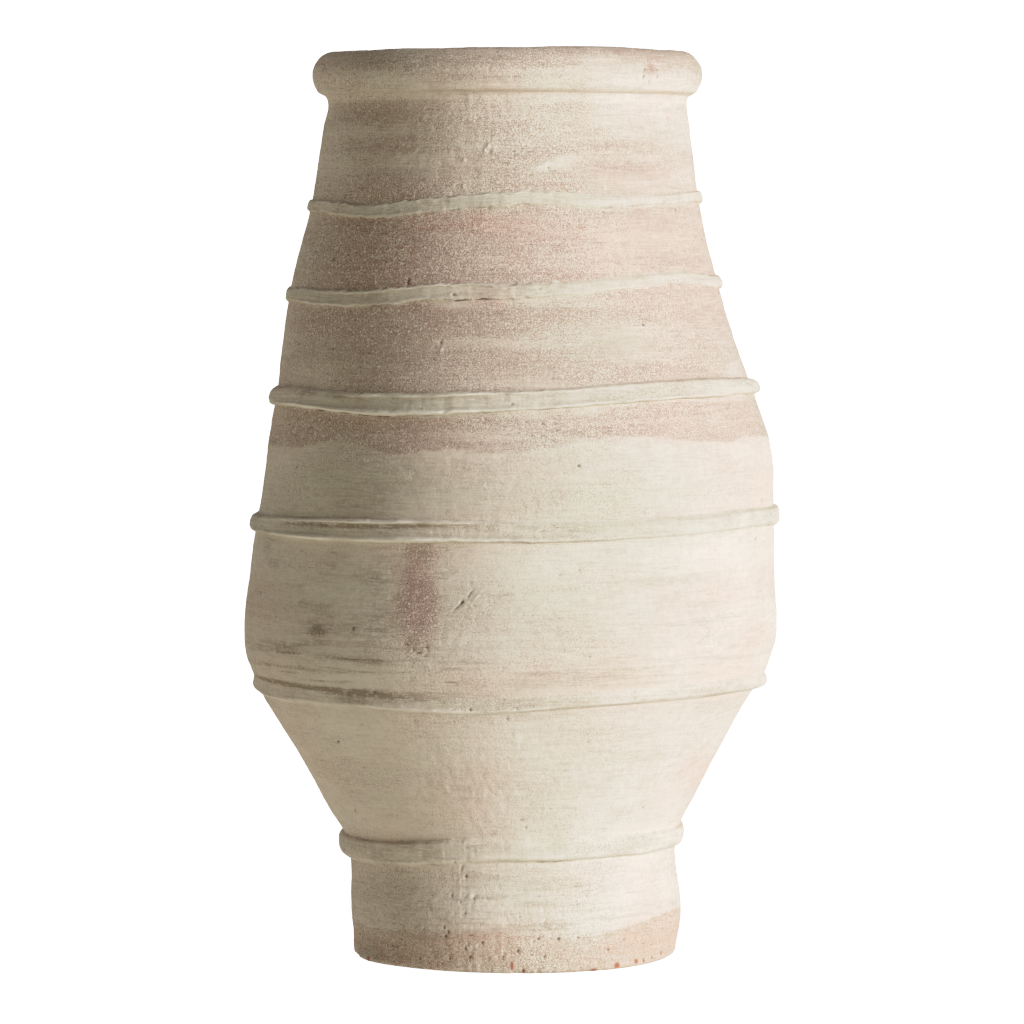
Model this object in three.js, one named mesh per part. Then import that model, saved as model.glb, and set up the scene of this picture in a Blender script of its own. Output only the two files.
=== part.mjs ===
// A tall earthenware floor jar, built the way a potter builds one too big for a single lump of clay.
// A beaten floor disc carries seven thrown courses of wall. Each course stands with a tongue along its lower
// edge in a groove along the top of the piece below, a hand-rolled band of clay is laid round every joint
// between two courses, and a thick roll makes the rim. Everything is slightly out of round, as thrown work is.
// Millimetres, +Z up, with the origin in the middle of the underside. +X is the right of the jar's front view.

import * as THREE from "three";

// Driving dimensions of the floor and the walls
const FLOOR_THICKNESS = 22;
const FLOOR_EDGE_ROUND = 5; // radius of the floor disc's worn lower edge
const FOOT_WALL = 16; // thickness of the wall at the underside's level
const RIM_WALL = 10; // thickness of the wall just under the rim

// The rim: a roll of oval section that sits flat on top of the last course
const RIM_HEIGHT = 33; // from its seat to its crown
const RIM_OVERHANG = 10.7; // how far it stands out from the wall below
const RIM_LIP = 6.7; // how far it stands in over the wall below, round the mouth

// Outer radius of the wall at the underside, before its edge is rounded, and at the top of the floor disc and
// of each course. The collar's foot stands plumb under the outer side of the rim, a step inside it.
const MOUTH_RADIUS = 127;
const COLLAR_STEP = 0.8;
const RADIUS = {
  underside: 113,
  floorTop: 116.9,
  footTop: 118.3,
  keel: 179.5,
  bellyTop: 183.4,
  shoulderTop: 168.3,
  neckFoot: 151.4,
  collarFoot: MOUTH_RADIUS + RIM_OVERHANG - COLLAR_STEP,
};

// How far the wall swells out past the straight line from a course's foot to its top, or draws in behind it
const SWELL = {
  footLow: 0.05,
  footWaist: -2,
  bodyLow: -0.1,
  bodyMiddle: -0.7,
  bodyHigh: 0.15,
  bellyLow: 6.5,
  bellyFull: 8.35,
  bellyHigh: 4.35,
  shoulder: 3.65,
  upperShoulder: -0.15,
  neck: -0.55,
  collar: -0.55,
};

// The courses of wall, from the floor up. Each has its own height, the outer radius and the lean of its top
// edge, and the places between where it swells, each at a share of the course's height. A lean moves the wall
// off the jar's axis, to the right and to the back.
const COURSE_HEIGHT = {
  foot: 63,
  lowerBody: 111,
  belly: 115,
  shoulder: 88,
  upperShoulder: 74,
  neck: 58,
  collar: 76,
};
const UNDERSIDE_LEAN = [1.8, 0];
const FLOOR_TOP_LEAN = [2.6, 0];
const COURSES = [
  {
    name: "foot_wall",
    height: COURSE_HEIGHT.foot,
    swells: [
      { share: 0.25, swell: SWELL.footLow, lean: [2, 0.5] },
      { share: 0.7, swell: SWELL.footWaist, lean: [0.5, 1] },
    ],
    top: { radius: RADIUS.footTop, lean: [-0.8, 1] },
  },
  {
    name: "lower_body_wall",
    height: COURSE_HEIGHT.lowerBody,
    swells: [
      { share: 0.16, swell: SWELL.bodyLow, lean: [-2.2, 1] },
      { share: 0.5, swell: SWELL.bodyMiddle, lean: [-2.6, 1.5] },
      { share: 0.865, swell: SWELL.bodyHigh, lean: [-4.6, 2] },
    ],
    top: { radius: RADIUS.keel, lean: [-3, 2] },
  },
  {
    name: "belly_wall",
    height: COURSE_HEIGHT.belly,
    swells: [
      { share: 0.155, swell: SWELL.bellyLow, lean: [-2.6, 1.5] },
      { share: 0.32, swell: SWELL.bellyFull, lean: [-1.4, 1] },
      { share: 0.63, swell: SWELL.bellyHigh, lean: [0.2, 0] },
    ],
    top: { radius: RADIUS.bellyTop, lean: [3, -1] },
  },
  {
    name: "shoulder_wall",
    height: COURSE_HEIGHT.shoulder,
    swells: [{ share: 0.5, swell: SWELL.shoulder, lean: [5.7, -2] }],
    top: { radius: RADIUS.shoulderTop, lean: [2, -2.5] },
  },
  {
    name: "upper_shoulder_wall",
    height: COURSE_HEIGHT.upperShoulder,
    swells: [{ share: 0.5, swell: SWELL.upperShoulder, lean: [-2, -2] }],
    top: { radius: RADIUS.neckFoot, lean: [-4.6, -1] },
  },
  {
    name: "neck_wall",
    height: COURSE_HEIGHT.neck,
    swells: [{ share: 0.5, swell: SWELL.neck, lean: [-5, 0.5] }],
    top: { radius: RADIUS.collarFoot, lean: [-4.2, 1.5] },
  },
  {
    name: "collar_wall",
    height: COURSE_HEIGHT.collar,
    swells: [{ share: 0.5, swell: SWELL.collar, lean: [-3.6, 2] }],
    top: { radius: MOUTH_RADIUS, lean: [-3.4, 2] },
  },
];

// The thrown wall's own errors, the same at every height
const OVAL = 1.4; // how far it bulges on one diagonal and draws in on the other
const THREE_SIDED = 0.7; // how far it bulges at the front and at two places behind

// Joints and slip: the liquid clay that fills them is left out, and its space stays open
const SLIP_GAP = 0.3;
const GROOVE_WIDTH = 5;
const GROOVE_DEPTH = 4;

// The bands, one over each joint, from the foot up: width up the wall, how far the crest stands out, and how
// far the middle wanders from the joint, with its path round the jar as [degrees from the right-hand side,
// share of that wander]. The front is at -90 degrees.
const BAND_WIDTH = { foot: 19, keel: 14, belly: 16, shoulder: 15, neck: 11, collar: 9.5 };
const BAND_CREST = { foot: 5.5, keel: 4.5, belly: 5.5, shoulder: 6, neck: 4.5, collar: 4 };
const BAND_WANDER = { foot: 4.1, keel: 3, belly: 4.2, shoulder: 5, neck: 8.1, collar: 5.7 };
const BANDS = [
  {
    name: "foot_band",
    width: BAND_WIDTH.foot,
    crest: BAND_CREST.foot,
    wander: BAND_WANDER.foot,
    path: [
      [-180, -0.63], [-150, -1], [-129, -0.76], [-110, 0.2], [-94, 0.68], [-60, 0.71], [-26, 0.56],
      [20, 0.24], [60, -0.49], [110, 0.49], [150, -0.24],
    ],
  },
  {
    name: "keel_band",
    width: BAND_WIDTH.keel,
    crest: BAND_CREST.keel,
    wander: BAND_WANDER.keel,
    path: [
      [-180, -0.4], [-156, -0.87], [-127, -0.37], [-97, -0.93], [-82, -0.17], [-59, 0.7], [-30, 1],
      [-5, 0.27], [40, -0.5], [90, 0.67], [140, -0.33],
    ],
  },
  {
    name: "belly_band",
    width: BAND_WIDTH.belly,
    crest: BAND_CREST.belly,
    wander: BAND_WANDER.belly,
    path: [
      [-180, -0.57], [-150, -0.5], [-126, -0.31], [-103, 0], [-82, -0.07], [-60, 0.38], [-30, 1],
      [-5, 0.57], [30, 0], [80, -0.71], [130, 0.48],
    ],
  },
  {
    name: "shoulder_band",
    width: BAND_WIDTH.shoulder,
    crest: BAND_CREST.shoulder,
    wander: BAND_WANDER.shoulder,
    path: [
      [-180, -0.52], [-150, -0.24], [-118, -0.7], [-90, -0.06], [-57, 0.88], [-42, 1], [-24, 0.84],
      [0, 0.36], [30, -0.4], [70, -0.8], [110, 0.2], [150, 0.6],
    ],
  },
  {
    name: "neck_band",
    width: BAND_WIDTH.neck,
    crest: BAND_CREST.neck,
    wander: BAND_WANDER.neck,
    path: [
      [-180, -0.59], [-158, -0.63], [-132, -0.81], [-106, -0.12], [-93, -0.15], [-67, 0.41],
      [-38, 1], [-14, 0.53], [20, 0.25], [60, -0.37], [100, 0.37], [145, -0.12],
    ],
  },
  {
    name: "collar_band",
    width: BAND_WIDTH.collar,
    crest: BAND_CREST.collar,
    wander: BAND_WANDER.collar,
    path: [
      [-180, -0.18], [-152, -0.42], [-134, -0.89], [-108, 0.12], [-88, 0.72], [-64, 0.47],
      [-41, 0.61], [-13, 1], [20, 0.7], [60, -0.18], [100, -0.7], [140, 0.18],
    ],
  },
];

// Fineness of the faceted solids
const COLUMNS = 40; // facets round the jar
const FACET_SAG = 0.12; // how far a facet up the outer face may cut across the wall's curve
const DOME_STEPS = 5; // facets across a band
const ROLL_STEPS = 7; // facets up each side of the rim's section
const EDGE_STEPS = 3; // facets round the floor disc's lower edge

const CLAY = {
  slipped: { color: 0xd9d0bd, roughness: 0.92, metalness: 0 },
  blush: { color: 0xc9b3a4, roughness: 0.95, metalness: 0 },
  band: { color: 0xd3ccb8, roughness: 0.88, metalness: 0 },
  bare: { color: 0xc49a84, roughness: 0.97, metalness: 0 },
};
const COURSE_CLAY = {
  foot_wall: CLAY.slipped,
  lower_body_wall: CLAY.slipped,
  belly_wall: CLAY.slipped,
  shoulder_wall: CLAY.slipped,
  upper_shoulder_wall: CLAY.blush,
  neck_wall: CLAY.blush,
  collar_wall: CLAY.blush,
};

// Stations: the levels at which the jar's outer radius and lean are known
const stations = [
  { level: 0, radius: RADIUS.underside, lean: UNDERSIDE_LEAN },
  { level: FLOOR_THICKNESS, radius: RADIUS.floorTop, lean: FLOOR_TOP_LEAN },
];
const joints = [FLOOR_THICKNESS]; // levels of the flat seats, from the floor disc's to the rim's
for (const { height, swells, top } of COURSES) {
  const foot = stations.at(-1);
  for (const { share, swell, lean } of swells) {
    const radius = THREE.MathUtils.lerp(foot.radius, top.radius, share) + swell;
    stations.push({ level: foot.level + share * height, radius, lean });
  }
  stations.push({ level: foot.level + height, ...top });
  joints.push(foot.level + height);
}
const topJoint = joints.at(-1);

// A smooth curve through the stations gives radius, lean to the right and lean to the back at any level.
const outerCurve = new THREE.CubicInterpolant(
  stations.map((station) => station.level),
  stations.flatMap((station) => [station.radius, ...station.lean]),
  3,
);

// Outer radius of the ideal, round wall at a level.
function girth(level) {
  return outerCurve.evaluate(level)[0];
}

// How far the real wall stands out from the ideal one at a level and an angle.
function wobble(level, angle) {
  const [, right, back] = outerCurve.evaluate(level);
  const lean = right * Math.cos(angle) + back * Math.sin(angle);
  return lean + OVAL * Math.sin(2 * angle) + THREE_SIDED * Math.sin(3 * angle);
}

function wallThickness(level) {
  return THREE.MathUtils.lerp(FOOT_WALL, RIM_WALL, Math.min(level / topJoint, 1));
}

function stationLevels(low, high) {
  return stations.map((station) => station.level).filter((level) => level >= low && level <= high);
}

// Levels above `low` up to `high`, halved until straight facets between them follow the wall's curve.
function facetLevels(low, high) {
  const middle = (low + high) / 2;
  const [below, between, above] = [low, middle, high].map((level) => [...outerCurve.evaluate(level)]);
  const sag = between.map((value, i) => Math.abs(value - (below[i] + above[i]) / 2));
  if (Math.max(...sag) < FACET_SAG) return [high];
  return [...facetLevels(low, middle), ...facetLevels(middle, high)];
}

// The V of a joint in the middle of the wall, from outside to inside: the groove's, or the slimmer tongue's,
// whose flanks keep the slip gap to the groove's.
function jointV(level, isTongue) {
  const flank = Math.hypot(GROOVE_DEPTH, GROOVE_WIDTH / 2);
  const slimmer = isTongue ? (SLIP_GAP * flank) / GROOVE_DEPTH : 0;
  const half = GROOVE_WIDTH / 2 - slimmer;
  const depth = (GROOVE_DEPTH * half) / (GROOVE_WIDTH / 2);
  const middle = girth(level) - wallThickness(level) / 2;
  return [
    [middle + half, level],
    [middle, level - depth],
    [middle - half, level],
  ];
}

// Turns an outline of [radius, level], drawn with its outer side going up, into a solid about the jar's axis,
// and gives it the jar's errors. With a path, each corner is also carried up the wall by the path's height.
function turned(outline, pathHeight = () => 0) {
  const profile = outline.map(([radius, level]) => new THREE.Vector2(radius, level));
  const geometry = new THREE.LatheGeometry(profile, COLUMNS).rotateX(Math.PI / 2);
  const position = geometry.getAttribute("position");
  for (let i = 0; i < position.count; i++) {
    const radius = Math.hypot(position.getX(i), position.getY(i));
    if (radius === 0) continue; // the middle of the floor disc stays on the axis
    const angle = Math.atan2(position.getY(i), position.getX(i));
    const level = position.getZ(i) + pathHeight(angle);
    const real = radius + girth(level) - girth(position.getZ(i)) + wobble(level, angle);
    position.setXYZ(i, real * Math.cos(angle), real * Math.sin(angle), level);
  }
  geometry.computeVertexNormals();
  return geometry;
}

// The floor disc: flat below, rounded at its lower edge, with the first groove along its top.
function floorDisc() {
  const edge = new THREE.EllipseCurve(
    girth(FLOOR_EDGE_ROUND) - FLOOR_EDGE_ROUND,
    FLOOR_EDGE_ROUND,
    FLOOR_EDGE_ROUND,
    FLOOR_EDGE_ROUND,
    -Math.PI / 2,
    0,
  );
  return turned([
    [0, 0],
    ...edge.getPoints(EDGE_STEPS).map((point) => [point.x, point.y]),
    [girth(FLOOR_THICKNESS), FLOOR_THICKNESS],
    ...jointV(FLOOR_THICKNESS, false),
    [girth(FLOOR_THICKNESS) - wallThickness(FLOOR_THICKNESS), FLOOR_THICKNESS],
    [0, FLOOR_THICKNESS],
  ]);
}

// A course of wall: outer face, groove along the top, inner face, and tongue along the bottom.
function courseWall(low, high) {
  const known = stationLevels(low, high);
  const outerLevels = [low, ...known.slice(1).flatMap((level, i) => facetLevels(known[i], level))];
  const outer = outerLevels.map((level) => [girth(level), level]);
  const inner = known.map((level) => [girth(level) - wallThickness(level), level]);
  return turned([...outer, ...jointV(high, false), ...inner.reverse(), ...jointV(low, true).reverse(), outer[0]]);
}

// A band: its back follows the wall at the slip gap, and its front is half an oval.
function band({ width, crest, wander, path }, joint) {
  const angles = [...path.map(([degrees]) => degrees), 180];
  const heights = [...path.map(([, share]) => wander * share), wander * path[0][1]];
  const loop = new THREE.CubicInterpolant(angles, heights, 1);
  loop.settings = { endingStart: THREE.WrapAroundEnding, endingEnd: THREE.WrapAroundEnding };

  const front = [];
  const back = [];
  for (let step = 0; step <= DOME_STEPS; step++) {
    const turn = Math.PI * (step / DOME_STEPS - 0.5);
    const level = joint + (width / 2) * Math.sin(turn);
    front.push([girth(level) + SLIP_GAP + crest * Math.cos(turn), level]);
  }
  const backSteps = DOME_STEPS - 1;
  for (let step = 1; step < backSteps; step++) {
    const level = joint + width * (0.5 - step / backSteps);
    back.push([girth(level) + SLIP_GAP, level]);
  }
  return turned([...front, ...back, front[0]], (angle) => loop.evaluate(THREE.MathUtils.radToDeg(angle))[0]);
}

// One side of the roll, as [distance from the wall's middle, level]: an oval that leaves the wall's edge and
// swells past it by `overhang`, up to the crown.
function rollSide(overhang) {
  const edge = wallThickness(topJoint) / 2;
  const reach = edge + overhang;
  const start = Math.acos(edge / reach);
  const halfHeight = RIM_HEIGHT / (1 + Math.sin(start));
  const side = [[edge, topJoint]];
  for (let step = 1; step <= ROLL_STEPS; step++) {
    const turn = THREE.MathUtils.lerp(-start, Math.PI / 2, step / ROLL_STEPS);
    side.push([reach * Math.cos(turn), topJoint + halfHeight * (Math.sin(turn) + Math.sin(start))]);
  }
  return side;
}

// The rim: the roll, with a tongue in the last course's groove.
function rimRoll() {
  const middle = girth(topJoint) - wallThickness(topJoint) / 2;
  const outside = rollSide(RIM_OVERHANG).map(([offset, level]) => [middle + offset, level]);
  const inside = rollSide(RIM_LIP).map(([offset, level]) => [middle - offset, level]);
  const section = [...outside.slice(0, -1), ...inside.reverse()];
  return turned([...section, ...jointV(topJoint, true).reverse(), section[0]]);
}

function piece(name, geometry, clay) {
  const mesh = new THREE.Mesh(geometry, new THREE.MeshStandardMaterial(clay));
  mesh.name = name;
  return mesh;
}

const jar = new THREE.Group();
jar.name = "earthenware_jar";
jar.add(piece("floor_disc", floorDisc(), CLAY.bare));
COURSES.forEach(({ name }, i) => jar.add(piece(name, courseWall(joints[i], joints[i + 1]), COURSE_CLAY[name])));
BANDS.forEach((one, i) => jar.add(piece(one.name, band(one, joints[i + 1]), CLAY.band)));
jar.add(piece("rim_roll", rimRoll(), CLAY.blush));

export default jar;
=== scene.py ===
# %% [markdown]
# # A tall earthenware floor jar
# The jar is 640 millimetres tall, a little higher than a knee. It was thrown in seven courses, one on top
# of the other, because soft clay can't carry more of its own weight at a time, and a roll of clay was
# pressed round each joint. Its plain solids arrive already built, in metres, with the floor at zero
# height. This script gives every one of them a fine surface of its own, with the marks of hands, brush and
# kiln, and then clay to be made of.

# %% Load the plain solids
import math

import bpy
import numpy as np
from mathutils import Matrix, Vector
from mathutils.bvhtree import BVHTree


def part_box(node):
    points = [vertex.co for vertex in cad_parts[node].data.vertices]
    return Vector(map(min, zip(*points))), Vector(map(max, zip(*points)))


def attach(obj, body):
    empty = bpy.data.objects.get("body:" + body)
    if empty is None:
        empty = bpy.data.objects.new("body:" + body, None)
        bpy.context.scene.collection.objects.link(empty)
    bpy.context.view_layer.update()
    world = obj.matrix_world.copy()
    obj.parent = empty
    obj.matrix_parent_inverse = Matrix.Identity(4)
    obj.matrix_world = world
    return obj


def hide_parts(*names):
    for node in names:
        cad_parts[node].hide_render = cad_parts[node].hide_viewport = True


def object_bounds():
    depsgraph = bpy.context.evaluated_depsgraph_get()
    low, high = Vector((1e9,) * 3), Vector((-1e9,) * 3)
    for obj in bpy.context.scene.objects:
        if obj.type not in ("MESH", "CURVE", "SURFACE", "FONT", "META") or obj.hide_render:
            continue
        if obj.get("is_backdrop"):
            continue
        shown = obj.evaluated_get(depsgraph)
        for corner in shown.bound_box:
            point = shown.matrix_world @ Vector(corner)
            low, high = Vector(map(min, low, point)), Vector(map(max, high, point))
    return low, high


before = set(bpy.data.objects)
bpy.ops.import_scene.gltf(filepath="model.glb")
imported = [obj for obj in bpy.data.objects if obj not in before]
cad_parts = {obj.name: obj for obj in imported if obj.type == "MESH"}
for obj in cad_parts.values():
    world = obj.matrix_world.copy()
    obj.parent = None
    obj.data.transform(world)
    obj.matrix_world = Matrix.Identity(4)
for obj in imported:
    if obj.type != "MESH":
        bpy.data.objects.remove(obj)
solid_box = [list(corner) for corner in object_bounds()]

MM = 0.001  # everything below is worked out in millimetres, and becomes metres as it goes into a mesh
WALLS = [
    "foot_wall", "lower_body_wall", "belly_wall", "shoulder_wall", "upper_shoulder_wall", "neck_wall",
    "collar_wall",
]
BANDS = ["foot_band", "keel_band", "belly_band", "shoulder_band", "neck_band", "collar_band"]
JOINTS = [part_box(name)[1].z / MM for name in ["floor_disc"] + WALLS]  # heights of the flat seats
TOP_JOINT = JOINTS[-1]
RIM_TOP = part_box("rim_roll")[1].z / MM
print("seats at", [round(level) for level in JOINTS], "and the rim's crown at", round(RIM_TOP), "mm")

# %% [markdown]
# ## Camera
# The photograph was taken from three and a half metres away with a long lens, level with the jar's neck
# and tilted down very slightly. A long lens keeps the jar's sides from leaning, and seen from so high the
# foot and the lower bands curve downwards. The lens follows from how many pixels wide the jar is at that
# distance.

# %% Place the camera
PHOTO_PIXELS = 1024
FOCAL_PIXELS = 5026
CAMERA_AWAY = 3560
CAMERA_HEIGHT = 527
CAMERA_TILT = math.radians(3.44)

camera_data = bpy.data.cameras.new("camera")
camera_data.sensor_width = 36
camera_data.lens = camera_data.sensor_width * FOCAL_PIXELS / PHOTO_PIXELS
camera = bpy.data.objects.new("camera", camera_data)
camera.location = (0, -CAMERA_AWAY * MM, CAMERA_HEIGHT * MM)
camera.rotation_euler = (math.pi / 2 - CAMERA_TILT, 0, 0)
bpy.context.scene.collection.objects.link(camera)
bpy.context.scene.camera = camera
print("lens", round(camera_data.lens, 1), "mm")

# %% [markdown]
# ## Studio
# One soft light stands level with the jar, on its right and a little in front of it. Its edge of shadow
# falls just left of the jar's middle. The rest comes off the white floor and is warmer, so the underside
# of every swelling is brighter than its top. A sun lamp acts as the soft light, because its rays reach
# all parts of the jar alike. The room and the floor look white to the camera and are dimmer as lights.
# The white wall behind the jar sends a little light round its left edge, which a second, weak sun stands
# for.

# %% Light the room
KEY_STRENGTH = 8.2
KEY_ROUND = math.radians(62)  # how far round to the right of the camera the light stands
KEY_UP = math.radians(4)
KEY_SPREAD = math.radians(32)
EDGE_STRENGTH = 0.42
EDGE_ROUND_BY = math.radians(-145)  # behind the jar, on its left
EDGE_UP = math.radians(28)
EDGE_COLOUR = (1.0, 0.92, 0.96)
BOUNCE_COLOUR = (1.0, 0.94, 0.78, 1)
ROOM_STRENGTH = 0.14
FLOOR_STRENGTH = 0.70
WHITE_SEEN = 3  # bright enough to be white in the picture


def add_sun(name, strength, colour, turned, up):
    """A sun lamp, turned so far from the camera's side, whose wide disc softens shadows as a big diffuser
    does."""
    lamp = bpy.data.lights.new(name, "SUN")
    lamp.energy = strength
    lamp.color = colour
    lamp.angle = KEY_SPREAD
    sun = bpy.data.objects.new(name, lamp)
    level = math.cos(up)
    towards = Vector((math.sin(turned) * level, -math.cos(turned) * level, math.sin(up)))
    sun.rotation_euler = towards.to_track_quat("Z", "Y").to_euler()
    bpy.context.scene.collection.objects.link(sun)


def seen_and_shed(tree, shed):
    """Two glows mixed by a Light Path node: white where the camera looks, and a warm one of strength
    `shed` for the light that reaches the jar."""
    nodes, links = tree.nodes, tree.links
    kind = "ShaderNodeBackground" if isinstance(tree.id_data, bpy.types.World) else "ShaderNodeEmission"
    seen, glow = nodes.new(kind), nodes.new(kind)
    seen.inputs["Color"].default_value = (1, 1, 1, 1)
    seen.inputs["Strength"].default_value = WHITE_SEEN
    glow.inputs["Color"].default_value = BOUNCE_COLOUR
    glow.inputs["Strength"].default_value = shed
    mix = nodes.new("ShaderNodeMixShader")
    links.new(nodes.new("ShaderNodeLightPath").outputs["Is Camera Ray"], mix.inputs["Fac"])
    links.new(glow.outputs[0], mix.inputs[1])
    links.new(seen.outputs[0], mix.inputs[2])
    return mix.outputs[0]


def add_room():
    """A world with nothing in it but the two glows."""
    world = bpy.data.worlds.new("room")
    world.use_nodes = True
    world.node_tree.nodes.clear()
    output = world.node_tree.nodes.new("ShaderNodeOutputWorld")
    world.node_tree.links.new(seen_and_shed(world.node_tree, ROOM_STRENGTH), output.inputs["Surface"])
    bpy.context.scene.world = world


add_sun("key", KEY_STRENGTH, (1, 1, 1), KEY_ROUND, KEY_UP)
add_sun("edge", EDGE_STRENGTH, EDGE_COLOUR, EDGE_ROUND_BY, EDGE_UP)
add_room()

# %% Lay the floor
FLOOR_REACH = 400  # metres, so that its far edge lies on the horizon


def add_floor():
    """A plain white sheet lit through from below, as a light table is."""
    mesh = bpy.data.meshes.new("floor")
    corners = [(x * FLOOR_REACH, y * FLOOR_REACH, 0) for x, y in ((-1, -1), (1, -1), (1, 1), (-1, 1))]
    mesh.from_pydata(corners, [], [(0, 1, 2, 3)])
    material = bpy.data.materials.new("pale_floor")
    material.use_nodes = True
    tree = material.node_tree
    tree.nodes.clear()
    output = tree.nodes.new("ShaderNodeOutputMaterial")
    tree.links.new(seen_and_shed(tree, FLOOR_STRENGTH), output.inputs["Surface"])
    mesh.materials.append(material)
    floor = bpy.data.objects.new("floor", mesh)
    bpy.context.scene.collection.objects.link(floor)
    floor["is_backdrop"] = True


add_floor()

# %% [markdown]
# ## The picture's highlights
# A camera rolls off its highlights, so the lit side of a pale jar is nearly white and still shows its
# colour. A curve on the picture does that: it leaves the shadows alone and bends over as it nears white.

# %% Roll off the highlights
BRIGHTEST = 2.4  # light that comes out as pure white
ROLL_OFF = [(0.25, 0.25), (0.5, 0.475), (0.77, 0.665), (1.0, 0.76), (1.3, 0.85), (1.6, 0.93)]


def roll_off_highlights():
    """Sets the picture's curve through [light, picture value] points, with the light as a share of the
    brightest."""
    view = bpy.context.scene.view_settings
    view.view_transform = "Standard"
    view.use_curve_mapping = True
    mapping = view.curve_mapping
    mapping.white_level = (BRIGHTEST, BRIGHTEST, BRIGHTEST)
    all_colours = mapping.curves[3]
    for light, value in ROLL_OFF:
        all_colours.points.new(light / BRIGHTEST, value)
    mapping.update()


roll_off_highlights()
print("highlights roll off above", ROLL_OFF[0][0])

# %% [markdown]
# ## The wall, read off the solids
# The plain solids know the jar's outline: how wide it is at each height and how it leans. Rays sent in
# towards the axis, and out from it, measure the outer and the inner radius at equal steps round and up. A
# few waves round the jar describe each ring of readings, so between them the wall can be worked out
# anywhere.

# %% Measure the wall with rays
READ_STEP = 6  # height from one ring of readings to the next
READ_FIRST = READ_STEP
READ_COLUMNS = 40
READ_FROM = 400  # how far out the inward rays start
WAVES = 5  # waves kept round the jar, the steady radius included


def solid_tree(names):
    """One search tree over the triangles of several solids."""
    corners = []
    faces = []
    for name in names:
        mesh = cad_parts[name].data
        first = len(corners)
        corners.extend(vertex.co / MM for vertex in mesh.vertices)
        faces.extend([first + i for i in face.vertices] for face in mesh.polygons)
    return BVHTree.FromPolygons(corners, faces)


def ray_radius(tree, angle, level, outside):
    """Distance from the axis to the wall at an angle and a height, met from outside or from inside."""
    out = Vector((math.cos(angle), math.sin(angle), 0))
    start = Vector((0, 0, level)) + (out * READ_FROM if outside else Vector())
    distance = tree.ray_cast(start, -out if outside else out)[3]
    return READ_FROM - distance if outside else distance


def ring_waves(radii):
    """Rings of radii as waves round the jar: the first numbers of each ring's Fourier series."""
    return np.fft.rfft(radii, axis=1)[:, :WAVES] / radii.shape[1]


def read_rings(tree, levels, outside):
    """The wall's waves at each level, from rays at equal steps round the jar."""
    angles = np.arange(READ_COLUMNS) * 2 * math.pi / READ_COLUMNS
    return ring_waves(np.array([[ray_radius(tree, a, z, outside) for a in angles] for z in levels]))


tree = solid_tree(["floor_disc"] + WALLS)
outer_levels = np.arange(READ_FIRST, TOP_JOINT, READ_STEP)
inner_levels = np.arange(JOINTS[0] + READ_STEP / 2, TOP_JOINT, READ_STEP)
outer_waves = read_rings(tree, outer_levels, True)
inner_waves = read_rings(tree, inner_levels, False)
print("read", outer_waves.shape[0], "rings outside and", inner_waves.shape[0], "inside")

# %% The wall's radius anywhere


def between_rows(rows, position):
    """Value at a fractional row: a Catmull-Rom cubic through the two rows on either side."""
    padded = np.concatenate([2 * rows[:1] - rows[1:2], rows, 2 * rows[-1:] - rows[-2:-1]])
    low = np.clip(np.floor(position).astype(int), 0, len(rows) - 2)
    t = (position - low)[..., None]
    a, b, c, d = (padded[low + k] for k in range(4))
    return b + t / 2 * ((c - a) + t * ((2 * a - 5 * b + 4 * c - d) + t * (3 * b - a - 3 * c + d)))


def radius_from(waves, first, angle, level):
    """The steady radius plus each wave's swing at that angle, with the waves' sizes read between two
    rings."""
    size = between_rows(waves, (level - first) / READ_STEP)
    turns = np.exp(1j * np.arange(1, WAVES) * angle[..., None])
    return size[..., 0].real + 2 * (size[..., 1:] * turns).sum(-1).real


def outer_radius(angle, level):
    """The outer face's radius, from the rays sent in."""
    return radius_from(outer_waves, outer_levels[0], angle, level)


def inner_radius(angle, level):
    """The inner face's radius, from the rays sent out."""
    return radius_from(inner_waves, inner_levels[0], angle, level)


BELLY_LEVEL = 229
front_radius = outer_radius(np.array([-math.pi / 2]), np.array([BELLY_LEVEL]))[0]
print("outer radius in front at the belly", round(float(front_radius), 1), "mm")

# %% [markdown]
# ## Marks of the hand
# Clay is never smooth: fingers leave ridges as the wheel turns, the wall swells and dips, and grit tears
# small pits. All of this is worked out from random numbers that stand at the knots of a net wrapped round
# the jar, with a smooth blend between knots. Wide, low cells give the wheel's ridges, and small ones give
# grain. Every piece asks the same net, so the marks run on across the joints.

# %% Random lumps and pits
NET_RADIUS = 160  # the net is laid out on a round wall of this radius
NET_BASE = -40  # height at which its lowest row of knots stands
NET_TOP = 760


def net_position(angle, level, across, tall):
    """Where a point lies in the net: how many cells there are round the jar, and its cell counts round
    and up."""
    cells = max(3, round(2 * math.pi * NET_RADIUS / across))
    return cells, (angle / (2 * math.pi)) % 1 * cells, (level - NET_BASE) / tall


def ease(t):
    """Runs from 0 to 1 with no slope or bend at either end: 6t^5 - 15t^4 + 10t^3."""
    return t * t * t * (t * (t * 6 - 15) + 10)


def lumps(angle, level, across, tall, seed):
    """Random swells between -1 and 1: the four knots' numbers round a point, blended by its eased
    distances."""
    cells, u, v = net_position(angle, level, across, tall)
    knots = np.random.default_rng(seed).uniform(-1, 1, (int((NET_TOP - NET_BASE) / tall) + 3, cells))
    column, row = np.floor(u).astype(int), np.floor(v).astype(int)
    s, t = ease(u - column), ease(v - row)
    left, right = column % cells, (column + 1) % cells
    below = knots[row, left] * (1 - s) + knots[row, right] * s
    above = knots[row + 1, left] * (1 - s) + knots[row + 1, right] * s
    return below * (1 - t) + above * t


def rough(angle, level, across, tall, seed, halvings=3):
    """Lumps of several sizes laid over each other, each half the size and 0.55 of the height of the
    last."""
    total = 0
    for k in range(halvings):
        total = total + 0.55**k * lumps(angle, level, across / 2**k, tall / 2**k, seed + 100 * k)
    return total


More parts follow.
